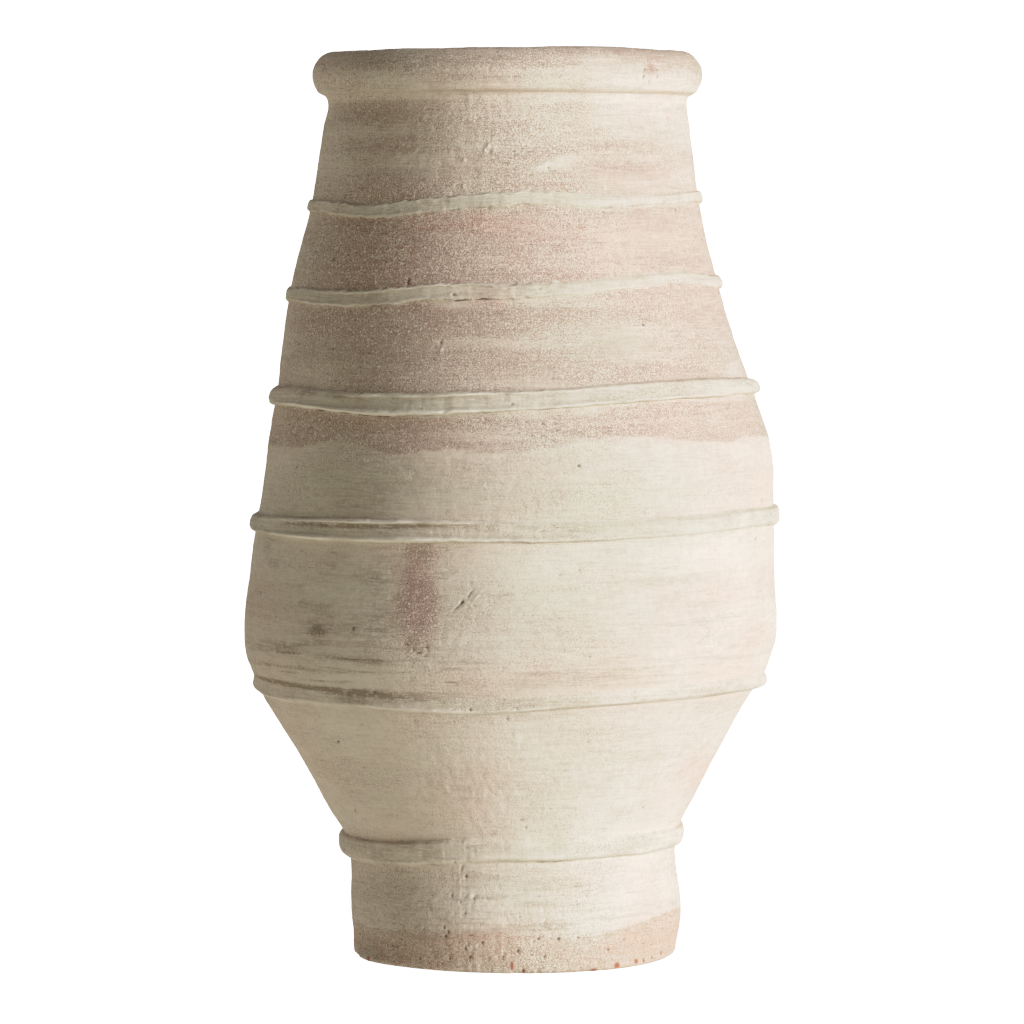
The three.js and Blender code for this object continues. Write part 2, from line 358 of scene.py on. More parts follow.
def pits(angle, level, apart, radius, share, seed):
    """Depth of scattered bowls, 0 to 1: a share of the net's cells has one at a random place and of
    random size, and each bowl is (1 - d^2)^2 deep at d of its radius. A point asks its own cell and the
    eight around it."""
    cells, u, v = net_position(angle, level, apart, apart)
    chance = np.random.default_rng(seed).uniform(0, 1, (4, int((NET_TOP - NET_BASE) / apart) + 4, cells))
    column, row = np.floor(u).astype(int), np.floor(v).astype(int)
    depth = np.zeros(np.broadcast(u, v).shape)
    for up in (-1, 0, 1):
        for side in (-1, 0, 1):
            x, y, size, lot = chance[:, np.maximum(row + up, 0), (column + side) % cells]
            distance = np.hypot(u - column - side - x, v - row - up - y) * apart / (radius * (0.4 + size))
            bowl = np.clip(1 - distance**2, 0, 1) ** 2 * (0.4 + size)
            depth = np.maximum(depth, np.where(lot < share, bowl, 0))
    return depth


print("a sample of lumps:", np.round(lumps(np.linspace(0, 1, 5), np.full(5, 300.0), 40, 20, 1), 2))

# %% Curves and spots laid on the wall
CURVE_SAMPLES = 720
curve_angles = np.arange(CURVE_SAMPLES) * 2 * math.pi / CURVE_SAMPLES


def smooth_step(low, high, value):
    """0 below low, 1 above high, and an eased climb between them."""
    return ease(np.clip((value - low) / (high - low), 0, 1))


def around(angle, points, softness=14):
    """A closed curve round the jar through a few [degrees, value] points, rounded off by fading out
    waves shorter than `softness` degrees."""
    degrees, values = np.array(sorted((p[0] % 360, p[1]) for p in points)).T
    raw = np.interp(np.degrees(curve_angles), degrees, values, period=360)
    waves = np.fft.rfft(raw)
    fade = np.exp(-((np.arange(len(waves)) * softness / 360) ** 2) * 4)
    return np.interp(angle, curve_angles, np.fft.irfft(waves * fade, CURVE_SAMPLES), period=2 * math.pi)


def spot(angle, level, at, size, turn=0, edge=1):
    """1 in the middle of an oval spot and fading outwards as exp(-d^2): `at` is its [degrees, height],
    `size` its half length and half width in millimetres, `turn` its tilt in degrees, and a higher `edge`
    fades faster."""
    away = (angle - math.radians(at[0]) + math.pi) % (2 * math.pi) - math.pi
    side = np.clip(away, -1.2, 1.2) * NET_RADIUS
    rise = level - at[1]
    c, s = math.cos(math.radians(turn)), math.sin(math.radians(turn))
    far = np.hypot((side * c + rise * s) / size[0], (rise * c - side * s) / size[1])
    return np.exp(-(far ** (2 * edge)))


def spots(angle, level, table, edge=1):
    """The sum of a table's spots. A row gives degrees, height, half length, half width, strength and,
    where it has one, tilt."""
    total = 0
    for degrees, height, length, width, strength, *tilt in table:
        total = total + strength * spot(angle, level, (degrees, height), (length, width), *tilt, edge=edge)
    return total


# %% [markdown]
# ## Where the slip lies
# A cream slip, a thin coat of pale liquid clay, was brushed over the pink body from the foot up to a wavy
# line under the shoulder band, and lies on the bands above that too. Above the line it is only dusted on,
# and the mauve body shows through it. The foot was wiped clean. These coats are soft masks from 0 to 1.

# %% Coats of slip
SLIP_EDGE = [
    (-168, 362), (-154, 363), (-146, 363.5), (-134, 370), (-128, 368.5), (-118, 360), (-108, 366),
    (-101, 366.5), (-92, 363), (-81, 368), (-69, 373.5), (-60, 374), (-47, 369.5), (-38, 367), (-24, 370),
    (20, 364), (60, 370), (100, 362), (150, 368),
]
WIPED_EDGE = [
    (-162, 24), (-144, 25), (-124, 28), (-94, 30), (-81, 27), (-66, 24.5), (-51, 27), (-42, 30.5),
    (-30, 33), (-11, 34), (30, 28), (90, 24), (140, 27),
]
EDGE_SOFTNESS = 5  # degrees
MAUVE_PATCH = (-110, 269)
WIPES_AND_PAINTED_LIGHT = [
    # degrees, height, half length, half width, slip wiped on (or off, below 0), tilt; the row at -176
    # degrees is partly thicker dusting and partly painted light round the left edge, the row at -152 degrees
    # partly dusting and partly painted light on the rim's upper left, and the row at -117 degrees painted
    # shade at the edge of the key light's shadow
    (-87, 384, 46, 10, 0.15), (-176, 520, 72, 180, 0.58), (-152, 632, 60, 14, 0.42),
    (-76, 558.5, 22, 3.5, 0.6, 13), (-106, 463, 18, 5, 0.35), (-60, 497, 34, 16, 0.3),
    (-75, 445, 30, 9, 0.25), (-18, 413, 26, 8, 0.3), (-53, 437, 40, 13, 0.2), (-94, 377, 34, 7, 0.5),
    (-146, 408, 42, 9, 0.65), (-62, 631, 26, 8, 0.2), (-142, 524, 40, 10, -0.16),
    (-124, 450, 30, 28, -0.34), (-140, 518, 20, 8, -0.15), (-136, 612, 36, 7, 0.5),
    (-156, 566, 40, 34, 0.16), (-43, 623, 6, 4, -0.45), (-117, 480, 14, 60, -0.12),
]
WORN_ROUND = [
    # degrees, height, half length, half width, slip worn off above and below the mauve patch
    (-110.5, 238, 12, 14, 0.45), (-109, 297, 15, 7, 0.7), (-107, 262, 22, 32, 0.25),
]


def slip_cover(angle, level):
    """How thickly slip covers the wall: nearly all of it below the wavy edge, but for one worn patch, and
    above it a dusting with horizontal wipes, thicker towards the neck and round to the right. Some wipes,
    and a spot of extra slip low on the left, are painted light and shade."""
    edge = around(angle, SLIP_EDGE, EDGE_SOFTNESS) + lumps(angle, level * 0, 18, 9, 31)
    below = smooth_step(-1.3, 1.3, edge - level + 1.2 * rough(angle, level, 9, 7, 32))
    # The spot at -128 degrees, 110 mm high adds slip as painted light low on the left, near the edge of the
    # key light's shadow.
    full = 0.9 + 0.12 * rough(angle, level, 90, 30, 35) + 0.15 * spot(angle, level, (-128, 110), (60, 22))
    uneven = 0.24 - 0.11 * smooth_step(0.1, 0.8, np.cos(angle))
    dusted = 0.30 + uneven * rough(angle, level, 130, 9, 33) + 0.16 * np.cos(angle + 0.45)
    dusted = dusted + 0.19 * smooth_step(500, 590, level) - 0.28 * smooth_step(617, 629, level)
    dusted = dusted + 0.75 * np.exp(-(((level - TOP_JOINT - 1) / 5) ** 2)) + spots(angle, level, WIPES_AND_PAINTED_LIGHT)
    dusted = dusted - 0.14 * smooth_step(575.5, 573.5, level) * spot(angle, level, (-55, 566), (150, 16))
    worn = 1.05 * spot(angle, level, MAUVE_PATCH, (12, 31), edge=1.6) + spots(angle, level, WORN_ROUND)
    cover = full * below + np.clip(dusted, 0.06, 0.85) * (1 - below)
    cover = cover - worn * (0.85 + 0.35 * rough(angle, level, 16, 12, 36))
    return np.clip(cover * (1 - 0.95 * wiped_foot(angle, level)), 0, 1)


def wiped_foot(angle, level):
    """1 where the foot was wiped back to bare clay."""
    edge = around(angle, WIPED_EDGE, EDGE_SOFTNESS) + 1.2 * rough(angle, level, 14, 8, 34)
    bare = 0.82 + 0.35 * rough(angle, level, 30, 9, 37)
    bare = bare + 0.5 * spot(angle, level, (-25, 16), (60, 20), edge=2)
    return smooth_step(-1, 1.5, edge - level) * np.clip(bare, 0, 1)


# %% Blush, green, soot and painted shade
BLUSHES = [
    # degrees, height, half length, half width, strength of the pink that the kiln left
    (-108, 518, 55, 9, 0.45), (-88, 515, 45, 9, 0.45), (-49, 380, 60, 9, 0.45), (-28, 462, 60, 24, 0.5),
    (*MAUVE_PATCH, 13, 30, 1), (-116, 374, 50, 8, 0.4), (-60, 500, 70, 30, 0.35), (-96, 470, 20, 6, 0.5),
    (-24, 232, 14, 9, 0.8), (-100, 119, 12, 6, 0.3), (-130, 590, 60, 14, 0.2), (70, 470, 160, 40, 0.4),
    (150, 520, 120, 30, 0.4), (-40, 420, 90, 60, 0.25), (-60, 625, 120, 20, 0.22), (-15, 375, 7, 5, 0.8),
    (-55, 375, 8, 5, 0.6), (-35, 374, 9, 5, 0.6), (-20, 240, 150, 130, 0.35), (-20, 130, 120, 60, 0.3),
    (-20, 502, 120, 26, 0.5), (-25, 383, 70, 12, 0.7), (-43, 624, 6, 4, 0.9), (-28, 590, 4, 4, 0.7),
    (-40, 560, 110, 40, 0.45), (-28, 466, 70, 13, 0.4), (-10, 505, 50, 24, 0.3), (-36, 484, 80, 44, 0.4),
    (-30, 345, 60, 30, 0.25), (-35, 20, 80, 20, 0.55), (-75, 436, 40, 28, -0.25), (-80, 553, 220, 14, 0.2),
    (-80, 34, 110, 9, 0.1), (-92, 120, 40, 24, -0.2),
]
RUST_AND_SHADE_SPOTS = [
    # degrees, height, half length, half width, strength where the body was fired to a red brown; the row at
    # -150 degrees, 5 mm high is instead painted shade where the foot meets the floor on the left
    (-115, 519, 24, 6, 0.9), (-140, 522, 40, 9, 0.45), (-128, 474, 30, 16, 0.35), (-98, 519, 24, 6, 0.75),
    (-55, 375, 5, 3, 0.45), (-35, 374, 6, 3, 0.4), (-123, 498, 60, 24, 0.65), (-60, 505, 70, 20, 0.35),
    (-108, 462, 30, 10, 0.4), (-20, 380, 22, 6, 0.5), (-130, 556, 40, 20, 0.25), (-60, 12, 90, 14, 0.12),
    # The entry at -150 degrees on the next line is painted shade along the foot's lower edge on the left.
    (-43, 624, 5, 3, 0.5), (-150, 5, 70, 12, 0.7), (-116, 14, 44, 13, 0.3), (-24, 34, 30, 4, 0.25),
]
STREAKED = [
    # degrees, height, half length, half width, strength of the brushed soot
    (-132, 214, 100, 18, 0.6), (-100, 52, 90, 20, 0.26), (-70, 34, 110, 9, 0.3), (-60, 214, 100, 10, 0.3),
]
SOOT_AND_SHADE_MARKS = [
    # degrees, height, half length, half width, strength and tilt of single smudges and lines; the smudge at
    # -119 degrees is partly brown dusting and partly painted shade, the one at -121 degrees is painted
    # shade, both at the edge of the key light's shadow, and the line at -152 degrees, 4 mm high is painted
    # shade where the foot meets the floor
    (-119, 262, 12, 45, 0.3), (-121, 335, 26, 24, 0.3), (-112, 196, 30, 1.8, 0.5, -4),
    (-127, 222, 34, 1.7, 0.6, -3), (-135, 241, 9, 8, 0.55), (-152, 4, 70, 7, 0.35),
    (-55, 276, 40, 3, 0.35), (-124, 198.5, 28, 3.2, 0.5),
]


def blush(angle, level):
    """How pink the clay is: a low, cloudy pink everywhere, and oval blushes laid over it."""
    pink = 0.28 + 0.24 * rough(angle, level, 90, 34, 41) + spots(angle, level, BLUSHES)
    return np.clip(pink, 0, 1)


def rust_and_shade(angle, level):
    """How far the bare clay turns from mauve to a red brown, with painted shade where the foot meets the
    floor on the left: the oval places above, broken up.
    """
    red = 0.12 * rough(angle, level, 50, 20, 44) + spots(angle, level, RUST_AND_SHADE_SPOTS)
    return np.clip(red, 0, 1)


def green(angle, level):
    """Where the slip is thick enough to turn grey-green: under its edge, and in clouds."""
    tint = 0.35 + 0.5 * spot(angle, level, (-100, 338), (420, 26)) + 0.35 * rough(angle, level, 120, 50, 42)
    tint = tint - 0.5 * smooth_step(230, 120, level) - 0.35 * smooth_step(0.2, 0.9, np.cos(angle))
    return np.clip(tint, 0, 1)


def soot_and_shade(angle, level):
    """Grey-brown streaks drawn out by the brush, mostly low on the left of the belly and on the foot, and
    the single smudges and lines, some of which are painted shade.
    """
    streaks = smooth_step(-0.1, 0.7, rough(angle, level - 4 * np.sin(angle + 2.6), 74, 2.8, 51))
    clouds = smooth_step(0, 1.1, rough(angle, level, 34, 22, 52)) * spot(angle, level, (-140, 270), (90, 80))
    line = 0.95 * spot(angle, level, (-143, 199.4), (84, 1.8), edge=2)
    brushed = streaks * (spots(angle, level, STREAKED) + 0.1)
    return np.clip(brushed + 0.4 * clouds + line + spots(angle, level, SOOT_AND_SHADE_MARKS), 0, 1)


def grain(angle, level):
    """How strongly pale grit and dark pores show: most in the thin dusting above the slip's edge, and more
    on the shaded left, as painted shade.
    """
    bare = 1 - slip_cover(angle, level)
    footed = 0.12 * smooth_step(95, 60, level)
    # On the shaded left the grit and pores show more: painted shade standing in for the shading of the pits.
    shaded = 0.3 * smooth_step(-0.35, -0.95, np.cos(angle)) * smooth_step(350, 380, level)
    calm = 0.25 * smooth_step(0.1, 0.7, np.cos(angle)) + 0.35 * spot(angle, level, (-128, 125), (54, 36))
    shown = 0.30 + 0.66 * bare + 0.3 * rough(angle, level, 60, 25, 43) + footed + shaded - calm
    return np.clip(shown, 0.12, 1.05)


# %% [markdown]
# ## Single marks
# Some marks are the jar's own and stand where the photograph shows them: a ring of dents on the rim,
# scratches and small craters under the belly band, single pits and lumps of grit, and a seam down the
# foot. Each is made of oval bumps and hollows, with their places as degrees round and height.

# %% Pits, lumps and scratches
MARKS = [
    # degrees, height, half length, half width, height of the bump in millimetres, tilt
    (-45.8, 623, 2, 1.3, -0.8, 60), (-42.8, 625.6, 2, 1.2, -0.6, -10), (-46, 618.4, 1.4, 1.9, -0.8),
    (-40.2, 623, 1.8, 1.3, -0.7, -50), (-40, 618.6, 2, 1.4, -0.7, 50), (-43.4, 615, 1.5, 1.2, -0.6),
    (-43, 620.4, 2.6, 2.2, 0.3), (-37, 624.3, 1.2, 1, -0.6), (-49, 607, 1.2, 1, -0.6),
    (-28, 590.7, 2, 2.6, -0.5), (-18, 573, 1.2, 1, -0.7), (-97, 570.4, 1.5, 1.5, 0.8),
    (-95.4, 569, 1.2, 1.2, 0.6), (-104, 561, 1.6, 1.4, 0.8), (-107, 543.6, 1.2, 1.2, 0.7),
    (-104, 543.5, 1.3, 1.3, 0.8), (-61, 541.6, 1.2, 1.2, 0.7), (-81, 556.5, 15, 1.1, 0.45, 14),
    (-82, 553.6, 15, 1.1, 0.35, 12), (-79, 559.6, 12, 1, 0.35, 16), (-98, 567.7, 1.5, 1.2, 0.8, 10),
    (-96.5, 566.3, 1.6, 1, -0.6), (-30, 526.9, 1.3, 1.1, -1.2), (-107, 432.2, 1.2, 1.8, 0.7),
    (-98.6, 269, 4, 0.6, -0.8, 57), (-101.2, 259.8, 5.2, 0.6, -0.8, 48), (-100.3, 263.2, 1.5, 1, -1, 50),
    (-97.4, 266.4, 6, 0.8, 0.5, 55), (-44, 246.2, 56, 0.7, -0.5, 3), (-56, 283.5, 14, 0.7, -0.5, 8),
    (-61, 273, 9, 0.7, -0.5, 4), (-112, 234, 2.6, 1, -0.7, -40), (-110.6, 230.5, 1, 2.2, -0.6),
    (-109.4, 228.4, 2.4, 1, -0.8, 25), (-107.6, 232.5, 1, 2.4, -0.6), (-108, 226.6, 1.6, 1, -0.6),
    (-109.4, 233, 1.6, 1, 0.35), (-108.4, 229.8, 1.2, 0.9, 0.35), (-80, 324, 5, 0.7, -0.4, 30),
    (-77, 325, 5, 0.7, -0.4, -35), (-75, 322.6, 4, 0.7, -0.4, 20), (-80, 281.4, 1.6, 0.9, -0.6, 40),
    (-62, 295.6, 1.5, 1, -0.5), (-121, 199.6, 1.5, 1, -0.8), (-103, 208.2, 6, 0.6, -0.8),
    (-90, 171.4, 1.2, 1.8, -0.35), (-88, 164, 1, 2.2, -0.4), (-89, 168, 3.5, 6, 0.35),
    (-108.3, 58, 24, 1.6, 0.16, 92), (-104.3, 54, 3, 1.8, 0.7), (-103.2, 52.5, 1.6, 1.4, -0.8),
    (-109, 78, 1.6, 0.9, -0.7, 30), (-106, 67.6, 1.8, 1.4, -0.9), (-107.5, 73, 3.4, 1, -0.5, 60),
    (-111, 54, 1.6, 1.4, -0.7), (-112, 29, 2, 1.3, -0.8, -50), (-104, 27.2, 2.6, 0.9, -0.7),
    (-74, 24.4, 2.2, 1.5, -1), (-81, 25.1, 1.7, 1.3, -0.9), (-88, 16.7, 1.7, 1.4, -0.9),
    (-106, 17.3, 1.5, 1.2, -0.8), (-55, 14.3, 1.6, 1.2, -0.9), (-79, 12, 1.4, 1.2, -0.8),
    (-104.6, 469.6, 1.3, 1, -0.8), (-83, 473.4, 0.9, 0.9, -0.6), (-80, 472.9, 0.7, 1, -0.5),
    (-123.5, 201, 1.2, 0.9, -0.5, 20), (-89, 190, 1.2, 1, -0.6), (-119, 209.3, 4, 0.7, -0.6),
    (-153.5, 170.5, 7, 0.5, -0.4, -75), (-71, 165, 1.6, 1.2, -0.6), (-87, 109.2, 3.5, 1.2, -0.6),
    (-104.5, 11.5, 2.4, 1, -1), (-112, 10, 1.5, 1.2, -0.9), (-124, 8, 1.4, 1.2, -0.9),
    (-115, 6, 1.3, 1.1, -0.8), (-113, 25.5, 1.8, 1.2, -0.9), (-113.5, 31.5, 1.6, 1.3, -0.8),
    (-100, 22, 1.6, 1, -0.8, 20), (-93, 12.5, 1.4, 1.1, -0.8), (-67, 25, 1.4, 1, -0.8),
    (-48, 20, 1.2, 1, -0.7), (-30, 26, 1.2, 1, -0.7), (-71, 9, 1.3, 1, -0.7),
    (-127, 401.7, 1.5, 1, -0.9, 20), (-105, 390.7, 2.2, 0.9, -0.9), (-90, 396.3, 1.5, 0.9, -0.7, 40),
]
CHIPS = [
    # degrees, height, half length, half width, and 1 for clay laid quite bare
    (-90, 6, 1.5, 3.6, 1), (-86, 2.5, 1.4, 1.6, 1), (-52, 3, 3.4, 2.2, 1), (-43, 4, 3, 1.9, 1),
    (-39, 3.5, 1.8, 1.4, 1), (-34, 4.5, 1.6, 1.3, 1), (-27, 6, 2, 2, 1), (-61, 1, 4, 1.4, 1),
    (-150, 3, 2.4, 1.5, 1), (40, 4, 3, 2, 1), (120, 5, 2.5, 2, 1),
]


def marks(angle, level):
    """The sum of all single bumps and hollows, in millimetres."""
    return spots(angle, level, MARKS, edge=1.5)


def chips(angle, level):
    """1 in the middle of each chip that shows orange clay where the foot's lower edge is broken."""
    return np.clip(spots(angle, level, CHIPS, edge=1.3), 0, 1)


print(len(MARKS), "single marks,", len(CHIPS), "chips and", len(BLUSHES), "blushes")

# %% [markdown]
# ## Clay as a mesh
# Each piece is one closed surface, laid out as rows that run round the jar and columns that run through
# its section. A ring's last row joins its first, and the floor disc closes on the axis with a fan at
# either end. The masks above are stored at every corner, for the clay's material to read.

# %% Build a mesh from a grid of points
AROUND = 768  # columns round the jar
CROWDING = 0.35  # the columns stand this much closer in front than on average
FRONT = -math.pi / 2
column_angles = np.arange(AROUND) * 2 * math.pi / AROUND
column_angles = column_angles - CROWDING * np.sin(column_angles - FRONT)
SHARP_ANGLE = math.radians(60)


def ring_faces(rows, closed):
    """The four corners of every face of a grid whose columns join up, and whose rows do too if it is
    closed."""
    row = np.arange(rows if closed else rows - 1)[:, None]
    column = np.arange(AROUND)[None, :]
    above, beside = (row + 1) % rows, (column + 1) % AROUND
    here, ahead = row * AROUND, above * AROUND
    corners = [here + column, here + beside, ahead + beside, ahead + column]
    return np.stack([c.ravel() for c in np.broadcast_arrays(*corners)], axis=1)


def fan_faces(row, pole, up):
    """Triangles from one row to a pole on the axis."""
    here = row * AROUND + np.arange(AROUND)
    beside = row * AROUND + (np.arange(AROUND) + 1) % AROUND
    third = np.full(AROUND, pole)
    return np.stack([here, beside, third] if up else [beside, here, third], axis=1)


def clay_object(name, replaces, radius, level, masks, material, poles=()):
    """A named object from grids of radius and height in millimetres, with one number per corner for each
    mask."""
    angle = np.broadcast_to(column_angles, radius.shape)
    points = np.stack([radius * np.cos(angle), radius * np.sin(angle), level], axis=-1).reshape(-1, 3)
    faces = ring_faces(len(radius), closed=not poles).tolist()
    if poles:
        points = np.concatenate([points, [(0, 0, poles[0]), (0, 0, poles[1])]])
        faces += fan_faces(0, len(points) - 2, up=False).tolist()
        faces += fan_faces(len(radius) - 1, len(points) - 1, up=True).tolist()
    mesh = bpy.data.meshes.new(name)
    mesh.from_pydata(points * MM, [], faces)
    for mask, values in masks.items():
        data = np.concatenate([np.broadcast_to(values, radius.shape).ravel(), np.zeros(len(poles))])
        mesh.attributes.new(mask, "FLOAT", "POINT").data.foreach_set("value", data.astype(np.float32))
    mesh.shade_smooth()
    mesh.set_sharp_from_angle(angle=SHARP_ANGLE)
    mesh.materials.append(material)
    piece = bpy.data.objects.new(name, mesh)
    bpy.context.scene.collection.objects.link(piece)
    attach(piece, "root")
    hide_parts(replaces)
    print(name, "has", sum(len(face) - 2 for face in faces), "triangles")


# %% [markdown]
# ## Unglazed clay
# One recipe serves every piece, because all of them are the same clay with more or less slip on it. Fired
# earthenware is matt and slightly porous, so it needs no gloss, only a changing colour and a fine tooth.
# The masks say where slip, blush, rust, green, soot, darkened hollows, wear and chips are. Some of them
# also carry painted shade, at the foot's lower left, along the edge of the key light's shadow and in the
# bands' creases and hollows, and a painted highlight on the bands' pale ridges. Noise much finer than the
# mesh breaks up their edges and scatters the pale grit, the dark pores and the brush's hairlines.

# %% Helpers for the material's nodes
class Recipe:
    """A material's nodes, with a short way to add and join them."""

    def __init__(self, name):
        self.material = bpy.data.materials.new(name)
        self.material.use_nodes = True
        self.tree = self.material.node_tree
        self.shader = self.tree.nodes["Principled BSDF"]
        self.place = self.tree.nodes.new("ShaderNodeTexCoord").outputs["Object"]

    def put(self, value, socket):
        """Joins a socket to another, or sets it to a number or colour."""
        if isinstance(value, bpy.types.NodeSocket):
            self.tree.links.new(value, socket)
        else:
            socket.default_value = value

    def noise(self, size, detail=3, stretch=(1, 1, 1), roughness=0.6):
        """Noise from 0 to 1 whose lumps are about `size` millimetres across, or more along a stretched
        axis."""
        mapping = self.tree.nodes.new("ShaderNodeMapping")
        mapping.inputs["Scale"].default_value = [1 / s for s in stretch]
        self.put(self.place, mapping.inputs["Vector"])
        node = self.tree.nodes.new("ShaderNodeTexNoise")
        node.inputs["Scale"].default_value = 1 / (size * MM)
        node.inputs["Detail"].default_value = detail
        node.inputs["Roughness"].default_value = roughness
        self.put(mapping.outputs[0], node.inputs["Vector"])
        return node.outputs["Fac"]

    def specks(self, apart, radius, share):
        """Round specks about `apart` millimetres from each other, in a share of a Voronoi texture's
        cells."""
        node = self.tree.nodes.new("ShaderNodeTexVoronoi")
        node.inputs["Scale"].default_value = 1 / (apart * MM)
        self.put(self.place, node.inputs["Vector"])
        lot = self.tree.nodes.new("ShaderNodeSeparateColor")
        self.put(node.outputs["Color"], lot.inputs[0])
        near = self.between(node.outputs["Distance"], radius / apart, 0.6 * radius / apart)
        return self.math("MULTIPLY", near, self.math("LESS_THAN", lot.outputs[0], share))

    def mask(self, name):
        """A number stored at the mesh's corners."""
        node = self.tree.nodes.new("ShaderNodeAttribute")
        node.attribute_name = name
        return node.outputs["Fac"]

    def math(self, operation, a, b=0.0, clamp=False):
        """One Math node over two values, held between 0 and 1 if it is clamped."""
        node = self.tree.nodes.new("ShaderNodeMath")
        node.operation = operation
        node.use_clamp = clamp
        self.put(a, node.inputs[0])
        self.put(b, node.inputs[1])
        return node.outputs[0]

    def scaled(self, value, factor, offset=0.0):
        """value * factor + offset."""
        return self.math("ADD", self.math("MULTIPLY", value, factor), offset)

    def add(self, *values, clamp=False):
        """The sum of two values or more, held between 0 and 1 if it is clamped."""
        total = values[0]
        for value in values[1:]:
            total = self.math("ADD", total, value, clamp and value is values[-1])
        return total

    def times(self, a, b):
        """The product of two values."""
        return self.math("MULTIPLY", a, b)

    def swing(self, noise, width):
        """Noise that swings evenly to either side of 0, over a width."""
        return self.scaled(noise, width, -width / 2)

    def stirred(self, name, noise, width):
        """A stored mask, shifted by noise."""
        return self.add(self.mask(name), self.swing(noise, width), clamp=True)

    def between(self, value, low, high):
        """0 where value is at or below low, 1 at or above high, with a soft climb between."""
        node = self.tree.nodes.new("ShaderNodeMapRange")
        node.interpolation_type = "SMOOTHSTEP"
        node.inputs["From Min"].default_value = low
        node.inputs["From Max"].default_value = high
        self.put(value, node.inputs["Value"])
        return node.outputs[0]

    def mix(self, amount, a, b, blend="MIX"):
        """Colour a with b laid over it by an amount."""
        node = self.tree.nodes.new("ShaderNodeMix")
        node.data_type = "RGBA"
        node.blend_type = blend
        self.put(amount, node.inputs[0])
        self.put(a, node.inputs[6])
        self.put(b, node.inputs[7])
        return node.outputs[2]


# %% Mix the clay
MAUVE = (0.37, 0.25, 0.215, 1)
TAN = (0.41, 0.305, 0.225, 1)
DIRTY_TAN = (0.48, 0.375, 0.28, 1)
TERRACOTTA = (0.60, 0.36, 0.28, 1)
BRICK = (0.37, 0.13, 0.08, 1)
# Red brown of the fired body, also used as painted shade where the foot meets the floor on the left
RUST_AND_SHADE = (0.35, 0.19, 0.14, 1)
CREAM = (0.775, 0.695, 0.58, 1)
GREEN_CREAM = (0.62, 0.59, 0.47, 1)
PINK_CREAM = (0.77, 0.57, 0.465, 1)
# Grey-brown of soot, also used as painted shade at the edge of the key light's shadow, in the bands' hollows
# and where the foot meets the floor
SOOT_AND_SHADE = (0.31, 0.245, 0.18, 1)
PORE = (0.12, 0.09, 0.065, 1)
# Pale of grit and worn clay, also a painted highlight on the bands' ridges
PALE = (0.88, 0.81, 0.69, 1)


